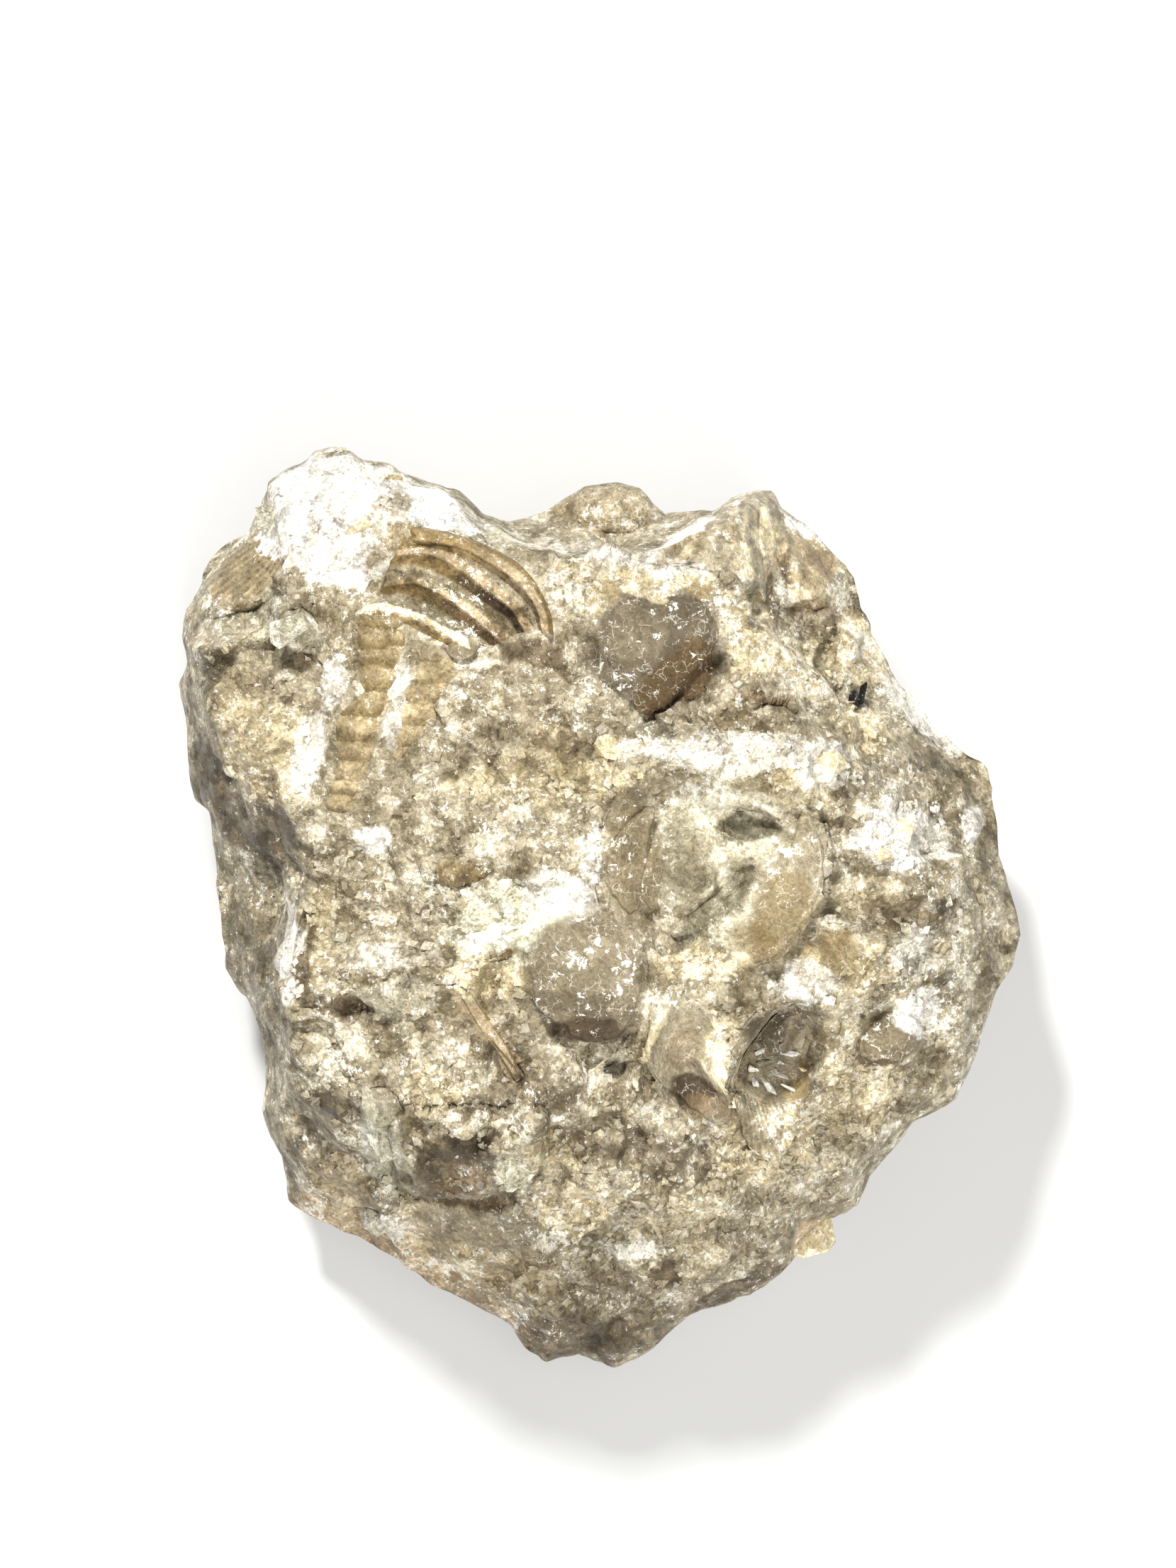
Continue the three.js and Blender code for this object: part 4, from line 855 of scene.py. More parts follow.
def form_height(x, y):
    """Height of the shells, lumps and hollows above the body."""
    height = np.zeros(np.shape(x))
    for at, size, turn, rise, power, corners, _ in FORMS.values():
        left = np.clip(1 - patch_share(x, y, at, size, turn, corners), 0, None)
        height += rise * left ** power
    for points, width, rise in CRESTS:
        height += rise * np.exp(-(line_place(x, y, points)[0] / width) ** 2)
    return height


def detail_height(x, y):
    """Height of broken edges and cracks."""
    height = np.zeros(np.shape(x))
    for points, width, rise, drop in LEDGES.values():
        gap, side, along = line_place(x, y, points)
        fade = np.exp(-(gap / width) ** 2) * line_ends(along)
        height += mix(-drop, rise, smooth_step(-LEDGE_STEP, LEDGE_STEP, gap * side)) * fade
    for points, width, depth in CREASES:
        gap, _, along = line_place(x, y, points)
        height -= depth * np.exp(-gap / width) * line_ends(along)
    return height


def rounded_height(x, y, height):
    """Height rounded over towards the rim."""
    angle = np.arctan2(y, x)
    rim = rim_height(angle)
    share = np.minimum(np.hypot(x, y) / reach(RIM, angle), 1)
    return rim + (height - rim) * (1 - share ** RIM_ROUNDING) ** RIM_FULLNESS


def top_height(x, y):
    return rounded_height(x, y, body_height(x, y) + form_height(x, y) + detail_height(x, y))


def roughness_left(x, y):
    """Share of the broken roughness that is left: the fossils are smoother."""
    left = np.ones(np.shape(x))
    for at, size, turn, _, _, corners, rough in FORMS.values():
        inside = 1 - smooth_step(*FORM_EDGE, patch_share(x, y, at, size, turn, corners))
        left = np.minimum(left, mix(1, rough, inside))
    for at, size, turn, corners in SMOOTH_PATCHES:
        inside = 1 - smooth_step(*PATCH_EDGE, patch_share(x, y, at, size, turn, corners))
        left = np.minimum(left, mix(1, SMOOTH_LEFT, inside))
    return left


# ------------------------------------------------------------ broken surfaces


def scatter(cells, channel):
    """A repeatable random number from 0 to 1 for each whole-number cell."""
    a, b, c, d = SCATTER_TURNS
    turn = cells[..., 0] * a + cells[..., 1] * b + cells[..., 2] * c + channel * d + CHIP_SEED
    wave = SCATTER_SCALE * np.sin(turn)
    return wave - np.floor(wave)


def nearest_chip(points, size):
    """The cell of the nearest chip, the way from its seed, and its distance."""
    home = np.floor(points / size)
    best = np.full(len(points), np.inf)
    cell_of = np.zeros_like(points)
    away_of = np.zeros_like(points)
    for n in range(CELLS_AROUND):
        cells = home + np.array((n % 3 - 1, n // 3 % 3 - 1, n // 9 - 1))
        seeds = cells + np.stack([scatter(cells, channel) for channel in (1, 2, 3)], -1)
        away = points - seeds * size
        distance = np.linalg.norm(away, axis=1)
        closer = distance < best
        best[closer] = distance[closer]
        cell_of[closer] = cells[closer]
        away_of[closer] = away[closer]
    return cell_of, away_of, best


def chip_offset(points, size, tilt, step, bulge):
    """Offset of a surface broken into chips, each tilted its own way."""
    cells, away, distance = nearest_chip(points, size)
    lean = np.stack([scatter(cells, channel) for channel in (4, 5, 6)], -1) - 0.5
    flat = 2 * (np.sum(away * lean, axis=1) * tilt + (scatter(cells, 7) - 0.5) * step)
    return flat - bulge * size * np.minimum(distance / size, 1) ** 2


def value_noise(points, size, channel):
    """Smooth noise from -1 to 1 with features of the given size."""
    place = points / size
    home = np.floor(place)
    part = place - home
    part = part * part * (3 - 2 * part)
    total = np.zeros(len(points))
    for n in range(8):
        corner = np.array((n & 1, n >> 1 & 1, n >> 2 & 1))
        weight = np.prod(np.where(corner, part, 1 - part), axis=1)
        total += weight * scatter(home + corner, channel)
    return 2 * total - 1


def fractal_noise(points, size, octaves, channel):
    total = np.zeros(len(points))
    for octave in range(octaves):
        total += value_noise(points, size / 2 ** octave, channel + octave) / 2 ** octave
    return total


def noise(name, points):
    """One of the listed noises at the points."""
    height, size, octaves, seed = NOISES[name]
    return height * fractal_noise(points, size, octaves, seed)


def plan_noise(name, x, y):
    """One of the listed noises at places in plan."""
    flat = np.stack([x, y, 0 * x], -1).reshape(-1, 3)
    return noise(name, flat).reshape(np.shape(x))


# -------------------------------------------------------------------- meshes


def vertex_normals(points, faces):
    a, b, c = (points[faces[:, i]] for i in range(3))
    across = np.cross(b - a, c - a)
    normals = np.zeros_like(points)
    for i in range(3):
        np.add.at(normals, faces[:, i], across)
    return normals / np.maximum(np.linalg.norm(normals, axis=1, keepdims=True), 1e-12)


def add_colour(mesh, name, colours):
    layer = mesh.color_attributes.new(name, "FLOAT_COLOR", "POINT")
    full = np.ones((len(colours), 4))
    full[:, :3] = colours
    layer.data.foreach_set("color", full.ravel())


def make_piece(name, points, faces, material, layers, replaces=(), flat=False):
    """A mesh object from points in millimetres, riding on the lump's body."""
    mesh = bpy.data.meshes.new(name)
    mesh.from_pydata((points * MM).tolist(), [], faces.tolist())
    for layer, colours in layers.items():
        add_colour(mesh, layer, colours)
    mesh.polygons.foreach_set("use_smooth", np.full(len(faces), not flat))
    mesh.materials.append(material)
    mesh.update()
    piece = bpy.data.objects.new(name, mesh)
    bpy.context.scene.collection.objects.link(piece)
    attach(piece, "root")
    if replaces:
        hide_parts(*replaces)
    return piece


def ring_radii():
    """Radius of each mesh ring by direction, evenly spaced along the slope."""
    directions = np.linspace(0, math.tau, SLOPE_DIRECTIONS, endpoint=False)
    share = np.linspace(0, 1, SLOPE_STEPS + 1)
    radius = reach(RIM, directions)[:, None] * share
    x = radius * np.cos(directions)[:, None]
    y = radius * np.sin(directions)[:, None]
    height = rounded_height(x, y, body_height(x, y))
    steps = np.hypot(np.diff(radius, axis=1), np.diff(height, axis=1) * SLOPE_WEIGHT)
    lengths = np.concatenate([np.zeros((len(directions), 1)), np.cumsum(steps, axis=1)], axis=1)
    rings = np.arange(TOP_RINGS + 1) / TOP_RINGS
    return directions, np.array([
        np.interp(rings * row[-1], row, radii) for row, radii in zip(lengths, radius)
    ])


def squares(a, b, c, d):
    """Two triangles for each square, from the lists of their corners."""
    return np.concatenate([np.column_stack([a, b, c]), np.column_stack([a, c, d])])


def loop_squares(here, there, count):
    """Triangles between two closed loops of points, given their first points."""
    side = np.arange(count)
    after = (side + 1) % count
    return squares(here + side, there + side, there + after, here + after)


def ring_start(ring):
    """First point of a ring on top; ring 0 is the point in the middle."""
    return 1 + SECTORS * ring * (ring - 1) // 2 if ring else 0


def ring_faces(ring):
    """Triangles between a ring on top and the one inside it."""
    start, inner_start = ring_start(ring), ring_start(ring - 1)
    inner_count = max(SECTORS * (ring - 1), 1)
    sector, i = np.meshgrid(np.arange(SECTORS), np.arange(ring), indexing="ij")
    outer, inner = sector * ring + i, sector * (ring - 1) + i
    near, far = (inner_start + (inner + step) % inner_count for step in (0, 1))
    after = start + (outer + 1) % (SECTORS * ring)
    outward = np.stack([near, start + outer, after], -1)
    inward = np.stack([near, after, far], -1)[:, :-1]
    return np.concatenate([outward.reshape(-1, 3), inward.reshape(-1, 3)])


def top_rings():
    """Places in plan and triangles over the top."""
    directions, radii = ring_radii()
    points = [np.zeros((1, 2))]
    for ring in range(1, TOP_RINGS + 1):
        count = SECTORS * ring
        angle = np.arange(count) * math.tau / count
        radius = np.interp(angle, directions, radii[:, ring], period=math.tau)
        points.append(np.stack([radius * np.cos(angle), radius * np.sin(angle)], -1))
    faces = [ring_faces(ring) for ring in range(1, TOP_RINGS + 1)]
    return np.concatenate(points), np.concatenate(faces)


def rock_mesh():
    """The whole lump before it is roughened, and where its flat underside starts."""
    plan, faces = top_rings()
    all_points = [np.column_stack([plan, top_height(plan[:, 0], plan[:, 1])])]
    all_faces = [faces]
    count = SECTORS * TOP_RINGS
    angle = np.arange(count) * math.tau / count
    rim, base, height = reach(RIM, angle), reach(BASE, angle), rim_height(angle)
    last, total = len(plan) - count, len(plan)
    for ring in range(1, SIDE_RINGS + 1):
        share = ring / SIDE_RINGS
        radius = mix(rim, base, share ** SIDE_BULGE)
        z = height * (1 - share) ** SIDE_DROP
        all_points.append(np.column_stack([radius * np.cos(angle), radius * np.sin(angle), z]))
        all_faces.append(loop_squares(last, total, count))
        last = total
        total += count
    side = np.arange(count)
    all_points.append(np.zeros((1, 3)))
    all_faces.append(np.column_stack([
        last + side, np.full(count, total), last + (side + 1) % count,
    ]))
    return np.concatenate(all_points), np.concatenate(all_faces), last


def tint_of(name):
    """A listed colour, made darker or lighter than the rock by the contrast."""
    colour = linear_colour(COLOURS[name])
    share = colour.mean() / linear_colour(ROCK_COLOUR).mean()
    return np.minimum(colour * share ** (TINT_CONTRAST - 1), TINT_LIMIT)


def tint_colours(points, normals):
    """Colour and smoothness of each point."""
    across = points[:, 0] + noise("tint across", points)
    upwards = points[:, 1] + noise("tint upwards", points)
    ragged = noise("tint edge", points)
    colours = np.tile(linear_colour(ROCK_COLOUR), (len(points), 1))
    smoothness = np.zeros(len(points))
    top = smooth_step(0, TINT_SLOPE, normals[:, 2])
    for at, size, turn, colour, smooth, strength in TINTS.values():
        share = patch_share(across, upwards, at, size, turn) + ragged * (1 - smooth)
        full, end = mix(TINT_FULL, SMOOTH_FULL, smooth), TINT_END
        amount = strength * (1 - smooth_step(full, end, share)) * top
        colours = mix(colours, tint_of(colour), amount[:, None])
        smoothness = mix(smoothness, smooth, amount)
    return colours, smoothness


def depth_inside(x, y, outline):
    """Distance inside a closed outline, negative outside it."""
    outline = np.array(outline, dtype=float)
    nearest = np.full(np.shape(x), np.inf)
    inside = np.zeros(np.shape(x), dtype=bool)
    for (ax, ay), (bx, by) in zip(outline, np.roll(outline, -1, axis=0)):
        run, climb = bx - ax, by - ay
        share = np.clip(((x - ax) * run + (y - ay) * climb) / (run ** 2 + climb ** 2), 0, 1)
        nearest = np.minimum(nearest, np.hypot(x - ax - share * run, y - ay - share * climb))
        crosses = (ay > y) != (by > y)
        level = np.where(climb == 0, 1, climb)
        inside ^= crosses & (x < ax + run * (y - ay) / level)
    return np.where(inside, nearest, -nearest)


def fossil_outlines():
    """The plan of every separate fossil."""
    outlines = [FLANK[0][0] + FLANK[-1][0][::-1]]
    outlines += [left + right[::-1] for left, right, *_ in RINGED.values()]
    outlines += [outline for outline, *_ in SKINS.values()]
    outlines += [left + right[::-1] for left, right, *_ in BANDS.values()]
    return outlines


def under_fossils(x, y):
    """How far the rock steps back under the fossils."""
    most = np.zeros(np.shape(x))
    for outline in fossil_outlines():
        most = np.maximum(most, smooth_step(*SEAT_EDGE, depth_inside(x, y, outline)))
    return SEAT_DEPTH * most


def soften(values, faces):
    """Average each point's value with its neighbours'."""
    ends = np.concatenate([faces[:, (0, 1)], faces[:, (1, 2)], faces[:, (2, 0)]])
    counts = np.bincount(ends[:, 0], minlength=len(values))
    for _ in range(SOFTEN_ROUNDS):
        sums = np.bincount(ends[:, 0], weights=values[ends[:, 1]], minlength=len(values))
        values = mix(values, sums / counts, SOFTEN_SHARE)
    return values


def near_rim(points):
    """From 0 to 1 towards the widest outline, which is smoother than the rest."""
    angle = np.arctan2(points[:, 1], points[:, 0])
    share = np.hypot(points[:, 0], points[:, 1]) / reach(RIM, angle)
    return smooth_step(*RIM_BAND, share)


def build_rock(material):
    points, faces, base_start = rock_mesh()
    top = points[:ring_start(TOP_RINGS + 1)]
    top[:, 2] -= under_fossils(top[:, 0], top[:, 1])
    normals = vertex_normals(points, faces)
    left = roughness_left(points[:, 0], points[:, 1])
    coarse = sum(chip_offset(points, *chips) for chips in CHIPS)
    fine = sum(chip_offset(points, *chips) for chips in FINE_CHIPS)
    grain = noise("grain", points)
    coarse = coarse + noise("lumps", points)
    calm = mix(STEEP_RELIEF, 1, smooth_step(*STEEPNESS, normals[:, 2]))
    relief = coarse * mix(STEEP_COARSE, 1, calm) + fine * calm + grain
    offset = soften(relief * left, faces)
    offset *= mix(1, RIM_ROUGHNESS, near_rim(points))
    offset[base_start:] = 0
    moved = points + normals * offset[:, None]
    moved[:base_start, 2] = np.maximum(moved[:base_start, 2], BASE_CLEARANCE)
    colours, smoothness = tint_colours(points, normals)
    # How low each point lies in the roughened surface; the shader paints shade where it is low.
    depth = np.clip(PLAIN_DEPTH + (fine + grain) * left, 0, 1)
    marks = np.column_stack([smoothness, depth, np.full(len(moved), ROCK_SPECKLE)])
    return make_piece("rock", moved, faces, material, {"tint": colours, "marks": marks}, (NODE,))


def spline(points, count):
    """Evenly shared points on a smooth curve through the given ones."""
    points = np.array(points, dtype=float)
    before, after = 2 * points[:1] - points[1:2], 2 * points[-1:] - points[-2:-1]
    padded = np.concatenate([before, points, after])
    place = np.linspace(0, len(points) - 1 - 1e-9, count)
    i = place.astype(int)
    t = (place - i)[:, None]
    a, b, c, d = (padded[i + k] for k in range(4))
    return 0.5 * (2 * b + (c - a) * t + (2 * a - 5 * b + 4 * c - d) * t ** 2
                  + (3 * b - a - 3 * c + d) * t ** 3)


def grid_squares(rows, columns):
    first = (np.arange(rows - 1)[:, None] * columns + np.arange(columns - 1)).ravel()
    return squares(first, first + columns, first + columns + 1, first + 1)


def closed_grid(points):
    """A closed mesh with a grid of points on top and a plain underside."""
    rows, columns = points.shape[:2]
    top = points.reshape(-1, 3)
    under = np.concatenate([points[:, 0], points[:, -1]])
    under[:, 2] -= SHEET_DEPTH
    row = np.arange(rows - 1)
    low_left, low_right = len(top) + row, len(top) + rows + row
    left, right = row * columns, row * columns + columns - 1
    faces = [
        grid_squares(rows, columns),
        squares(left, low_left, low_left + 1, left + columns),
        squares(low_right + 1, low_right, right, right + columns),
        squares(low_left, low_right, low_right + 1, low_left + 1),
    ]
    for end in (0, rows - 1):
        edge = end * columns + np.arange(columns - 1)
        low_corner, other_corner = len(top) + end, len(top) + rows + end
        faces.append(np.column_stack([edge, edge + 1, np.full(columns - 1, low_corner)]))
        faces.append([[edge[-1] + 1, other_corner, low_corner]])
    return np.concatenate([top, under]), np.concatenate(faces)


def closed_disc(points):
    """A closed mesh from rings of points round the first, on a plain underside."""
    rings, sectors = points.shape[:2]
    low = points[-1].copy()
    low[:, 2] -= SHEET_DEPTH
    middles = [points[0].mean(axis=0), low.mean(axis=0)]
    grid = np.concatenate([points[1:].reshape(-1, 3), low])
    faces = [
        loop_squares(ring * sectors, (ring + 1) * sectors, sectors) for ring in range(rings - 1)
    ]
    last = (rings - 1) * sectors
    sector = np.arange(sectors)
    after = (sector + 1) % sectors
    faces.append(np.column_stack([np.full(sectors, len(grid)), sector, after]))
    faces.append(np.column_stack([last + after, last + sector, np.full(sectors, len(grid) + 1)]))
    return np.concatenate([grid, middles]), np.concatenate(faces)


def turn_outwards(piece):
    """Make every face of a closed mesh point outwards."""
    mesh = bmesh.new()
    mesh.from_mesh(piece.data)
    bmesh.ops.recalc_face_normals(mesh, faces=mesh.faces)
    mesh.to_mesh(piece.data)
    mesh.free()


def fossil_piece(name, points, faces, colours, smooth, material):
    """A fossil's own mesh, with its colours, smoothness and listed speckle."""
    speckle = np.full(len(points), SPECKLE.get(name, ROCK_SPECKLE))
    marks = np.column_stack([smooth, np.full(len(points), PLAIN_DEPTH), speckle])
    piece = make_piece(name, points, faces, material, {"tint": colours, "marks": marks})
    turn_outwards(piece)
    return piece


def fill_up(values, count):
    """Lengthen a list of values with copies of its last one."""
    extra = np.repeat(values[-1:], count - len(values), axis=0)
    return np.concatenate([values, extra])


def flank_rows():
    """Each curve of the flank: places in plan, height, colours and power of slope."""
    along = np.linspace(0, 1, FLANK_LENGTHWAYS)[:, None]
    share = smooth_step(*FLANK_RIGHT_COLOUR, along)
    return [
        (spline(points, FLANK_LENGTHWAYS), height, mix(tint_of(left), tint_of(right), share), power)
        for points, height, left, right, power in FLANK
    ]


def build_flank(material):
    """The ribbed flank: pale crests over steep drops, brown with painted shadow, and grey floors.
    """
    rows = flank_rows()
    plan, heights, colours, smooth = [], [], [], []
    before = rows[0][2]
    for i, (here, low, tint, power) in enumerate(rows[:-1]):
        after, high = rows[i + 1][:2]
        smoothness = FLANK_FIRST_SMOOTHNESS if i < FLANK_FIRST_ROWS else FLANK_SMOOTHNESS
        for share in np.arange(FLANK_BETWEEN) / FLANK_BETWEEN:
            plan.append(mix(here, after, share))
            heights.append(np.full(len(here), mix(low, high, share ** power)))
            colours.append(mix(before, tint, smooth_step(*FLANK_NEXT_COLOUR, share)))
            smooth.append(np.full(len(here), smoothness))
        before = tint
    x, y = np.array(plan).transpose(2, 0, 1)
    along = np.linspace(0, 1, FLANK_LENGTHWAYS) + plan_noise("flank ends", x, y)
    height = mix(-SKIN_SINK, np.array(heights), faded_ends(along, *FLANK_ENDS))
    points = np.stack([x, y, top_height(x, y) + height + FLANK_LIFT], -1)
    points, faces = closed_grid(points.transpose(1, 0, 2))
    colours = fill_up(np.array(colours).transpose(1, 0, 2).reshape(-1, 3), len(points))
    smooth = fill_up(np.array(smooth).T.ravel(), len(points))
    fossil_piece("trilobite_flank", points, faces, colours, smooth, material)


def between(left, right, lengthways, across):
    """A grid of places in plan between two curves, at the given shares across."""
    left, right = spline(left, lengthways), spline(right, lengthways)
    plan = mix(left[:, None], right[:, None], across[None, :, None])
    return plan[..., 0], plan[..., 1]


def over_rock(x, y, height, name, strength=1):
    """Points at a height over the rock, roughened by a listed noise."""
    points = np.stack([x, y, top_height(x, y) + height], -1)
    flat = points.reshape(-1, 3)
    flat[:, 2] += strength * noise(name, flat)
    return points


def ring_place(x, y, across, creases, slant):
    """How many rings down the fossil each point is."""
    middle = y[:, RINGED_ACROSS // 2]
    place = np.interp(-middle, -np.array(creases), np.arange(len(creases)))[:, None]
    wobble = mix(*RING_WOBBLE, smooth_step(*WOBBLE_GROWS, middle))[:, None]
    return place + slant * across + wobble * plan_noise("rings", x, y)


def build_ringed(name, left, right, creases, rise, ring_rise, slant, darker, material):
    """A band of rings with a crease between each and the next."""
    across = np.linspace(-1, 1, RINGED_ACROSS)
    x, y = between(left, right, RINGED_LENGTHWAYS, (across + 1) / 2)
    part = ring_place(x, y, across, creases, slant) % 1
    hump = 1 - np.abs(2 * part ** RING_LEAN - 1) ** RING_FULLNESS
    edge = np.clip(1 - np.abs(across) ** RINGED_FULLNESS, 0, 1)[None] ** RINGED_ROUNDING
    ends = faded_ends(np.linspace(0, 1, RINGED_LENGTHWAYS)[:, None], *RINGED_ENDS)
    height = (rise * edge + ring_rise * hump * mix(RING_AT_SIDES, 1, edge)) * ends
    points, faces = closed_grid(over_rock(x, y, height - RINGED_SUNK, "ringed"))

    shade = darker * smooth_step(*RINGED_DARKENS, y[:, RINGED_ACROSS // 2])[:, None, None]
    # Each ring darkens towards its lower crease: olive, and partly painted shade.
    tone = RING_DARKNESS * faded_ends(part, *RING_DARK_PART)[..., None] + shade
    pale, dark = (linear_colour(COLOURS[colour]) for colour in RINGED_COLOURS)
    colours = fill_up(mix(pale, dark, tone).reshape(-1, 3), len(points))
    smooth = np.full(len(points), RINGED_SMOOTHNESS)
    fossil_piece(name, points, faces, colours, smooth, material)


def fan_relief(name, x, y):
    """Height of the fine ribs of a shell that has them."""
    if name not in FANS:
        return np.zeros(np.shape(x))
    at, spacing, rise = FANS[name]
    angle = np.arctan2(y - at[1], x - at[0])
    return rise * np.cos(math.tau * (angle / spacing + plan_noise("fan", x, y)))


def skin_piece(name, points, faces, smooth, material):
    """A skin with the tints of the rock and its own smoothness."""
    colours, found = tint_colours(points, np.tile((0, 0, 1.0), (len(points), 1)))
    # Painted light on the crests of the fine ribs and painted shade in their troughs.
    if name in FANS:
        ribs = fan_relief(name, points[:, 0], points[:, 1]) / FANS[name][2]
        colours = np.minimum(colours * (1 + FAN_SHADE * ribs[:, None]), TINT_LIMIT)
    smooth = mix(found, smooth, SKIN_OWN_SMOOTHNESS)
    fossil_piece(name, points, faces, colours, smooth, material)


def build_band(name, left, right, lift, smooth, material):
    """A crescent of shell between two curves, with sunken edges."""
    across = np.linspace(0, 1, BAND_ACROSS)
    x, y = between(left, right, BAND_LENGTHWAYS, across)
    along = np.linspace(0, 1, BAND_LENGTHWAYS)[:, None]
    from_side = np.minimum(across, 1 - across)[None] * BAND_SIDE_SHARE
    inside = np.minimum(from_side, np.minimum(along, 1 - along))
    rim = smooth_step(0, BAND_RIM, inside + plan_noise("band edge", x, y))
    points, faces = closed_grid(over_rock(x, y, mix(-SKIN_SINK, lift, rim), "band"))
    skin_piece(name, points, faces, smooth, material)


def skin_plan(outline, centre):
    """Rings of places in plan, from the centre out to a rounded outline."""
    closed = np.concatenate([outline[-1:], outline, outline[:2]])
    edge = spline(closed, (len(closed) - 1) * SKIN_STEPS + 1)[SKIN_STEPS:-SKIN_STEPS - 1]
    across, upwards = (edge - centre).T
    angle = np.arctan2(upwards, across) % math.tau
    order = np.argsort(angle)
    sector = np.arange(SKIN_SECTORS) * math.tau / SKIN_SECTORS
    distance = np.hypot(across, upwards)
    distance = np.interp(sector, angle[order], distance[order], period=math.tau)
    share = (np.arange(SKIN_RINGS + 1) / SKIN_RINGS)[:, None]
    x = centre[0] + share * distance * np.cos(sector)
    y = centre[1] + share * distance * np.sin(sector)
    return x, y, share


def build_skin(name, outline, lift, smooth, material):
    """A shell's own surface, a little above the rock, with sunken edges."""
    outline = np.array(outline, dtype=float)
    centre = outline.mean(axis=0)
    x, y, share = skin_plan(outline, centre)
    from_centre = (y - centre[1]) / np.ptp(outline[:, 1]) * 2
    shown = mix(SKIN_BURIED, 1, smooth_step(*SKIN_EMERGES, from_centre))
    sunk = smooth_step(*SKIN_RIM, share * (1 + plan_noise("skin edge", x, y)))
    height = mix(lift * shown, -SKIN_SINK, sunk)
    points = over_rock(x, y, height, "skin", mix(*SKIN_ROUGHNESS, smooth))
    points[..., 2] += fan_relief(name, x, y)
    points, faces = closed_disc(points)
    skin_piece(name, points, faces, smooth, material)


def crystal_points(centres, sizes, turns):
    """Corners of skewed boxes at the centres, each with its own sizes and turn."""
    ends = (-0.5, 0.5)
    corners = np.array([(x, y, z) for z in ends for y in ends for x in ends])
    corners[:, 0] += GRAIN_SKEW[0] * corners[:, 1] + GRAIN_SKEW[1] * corners[:, 2]
    shaped = corners[None] * sizes[:, None]
    return np.einsum("nij,nkj->nki", turns, shaped) + centres[:, None]


def random_turns(random, count):
    """Rotation matrices turned every way."""
    turns, _ = np.linalg.qr(random.normal(size=(count, 3, 3)))
    turns[np.linalg.det(turns) < 0, :, 0] *= -1
    return turns


def surface_of(piece):
    """Places in millimetres and normals of a piece's points."""
    count = len(piece.data.vertices)
    places, normals = np.empty(3 * count), np.empty(3 * count)
    piece.data.vertices.foreach_get("co", places)
    piece.data.vertex_normals.foreach_get("vector", normals)
    return places.reshape(-1, 3) / MM, normals.reshape(-1, 3)


def grain_weights(places, normals, tints):
    """How likely a grain lies at each place: on bare, pale and rough rock."""
    x, y = places[:, 0], places[:, 1]
    bare = (roughness_left(x, y) > BARE_ROUGHNESS) & (under_fossils(x, y) < BARE_SEAT)
    bare &= (normals[:, 2] > BARE_SLOPE) & (near_rim(places) < BARE_RIM)
    front = mix(*FRONT_GRAINS, smooth_step(*GRAIN_FRONT, y))
    weight = bare * tints.mean(axis=1) ** 2 * front
    return weight / weight.sum()


def build_grains(rock, material):
    """Crystals of spar scattered over the broken surface."""
    random = np.random.default_rng(GRAIN_SEED)
    places, normals = surface_of(rock)
    rock_tints, _ = tint_colours(places, normals)
    weights = grain_weights(places, normals, rock_tints)
    chosen = random.choice(len(places), GRAIN_COUNT, replace=False, p=weights)
    size = mix(GRAIN_LEAST, GRAIN_MOST, random.random(GRAIN_COUNT) ** GRAIN_SMALLNESS)
    centres = places[chosen] - normals[chosen] * (size * GRAIN_SUNK)[:, None]
    sizes = size[:, None] * random.uniform(*GRAIN_PROPORTIONS, (GRAIN_COUNT, 3))
    listed = np.array([tint_of(name) for name in GRAIN_COLOURS])
    colours = listed[random.integers(len(listed), size=GRAIN_COUNT)]
    colours = mix(colours, rock_tints[chosen], GRAIN_TINT)

    corners = crystal_points(centres, sizes, random_turns(random, GRAIN_COUNT))
    box = squares(*np.array(BOX_SIDES).T)
    faces = (box[None] + BOX_CORNERS * np.arange(GRAIN_COUNT)[:, None, None]).reshape(-1, 3)
    points = corners.reshape(-1, 3)
    layers = {
        "tint": np.repeat(colours, BOX_CORNERS, axis=0),
        "marks": np.tile(GRAIN_MARKS, (len(points), 1)),
    }
    make_piece("spar_grains", points, faces, material, layers, flat=True)


def crystal_hull(random, at, size, turn, height):
    """Corners and faces of one crystal with flat faces turned at random."""
    corners = random.normal(size=(CRYSTAL_CORNERS, 3))
    corners *= np.array(size) / np.linalg.norm(corners, axis=1, keepdims=True)
    turn = math.radians(turn)
    x = corners[:, 0] * math.cos(turn) - corners[:, 1] * math.sin(turn)
    y = corners[:, 0] * math.sin(turn) + corners[:, 1] * math.cos(turn)
    z = corners[:, 2] + float(top_height(np.array(at[0]), np.array(at[1]))) + height
    mesh = bmesh.new()
    for corner in np.column_stack([x + at[0], y + at[1], z]):
        mesh.verts.new(corner)
    bmesh.ops.convex_hull(mesh, input=mesh.verts)
    mesh.verts.index_update()
    points = np.array([vertex.co for vertex in mesh.verts])
    faces = np.array([[vertex.index for vertex in face.verts] for face in mesh.faces])
    mesh.free()
    return points, faces


def build_crystals(material):
    """The larger crystals, half sunk in the rock."""
    random = np.random.default_rng(GRAIN_SEED)
    points, faces, colours = [], [], []
    total = 0
    for at, size, turn, colour, height in CRYSTALS:
        corners, sides = crystal_hull(random, at, size, turn, height)
        points.append(corners)
        faces.append(sides + total)
        colours.append(np.tile(tint_of(colour), (len(corners), 1)))
        total += len(corners)
    layers = {"tint": np.concatenate(colours), "marks": np.tile(CRYSTAL_MARKS, (total, 1))}
    points, faces = np.concatenate(points), np.concatenate(faces)
    make_piece("crystals", points, faces, material, layers, flat=True)


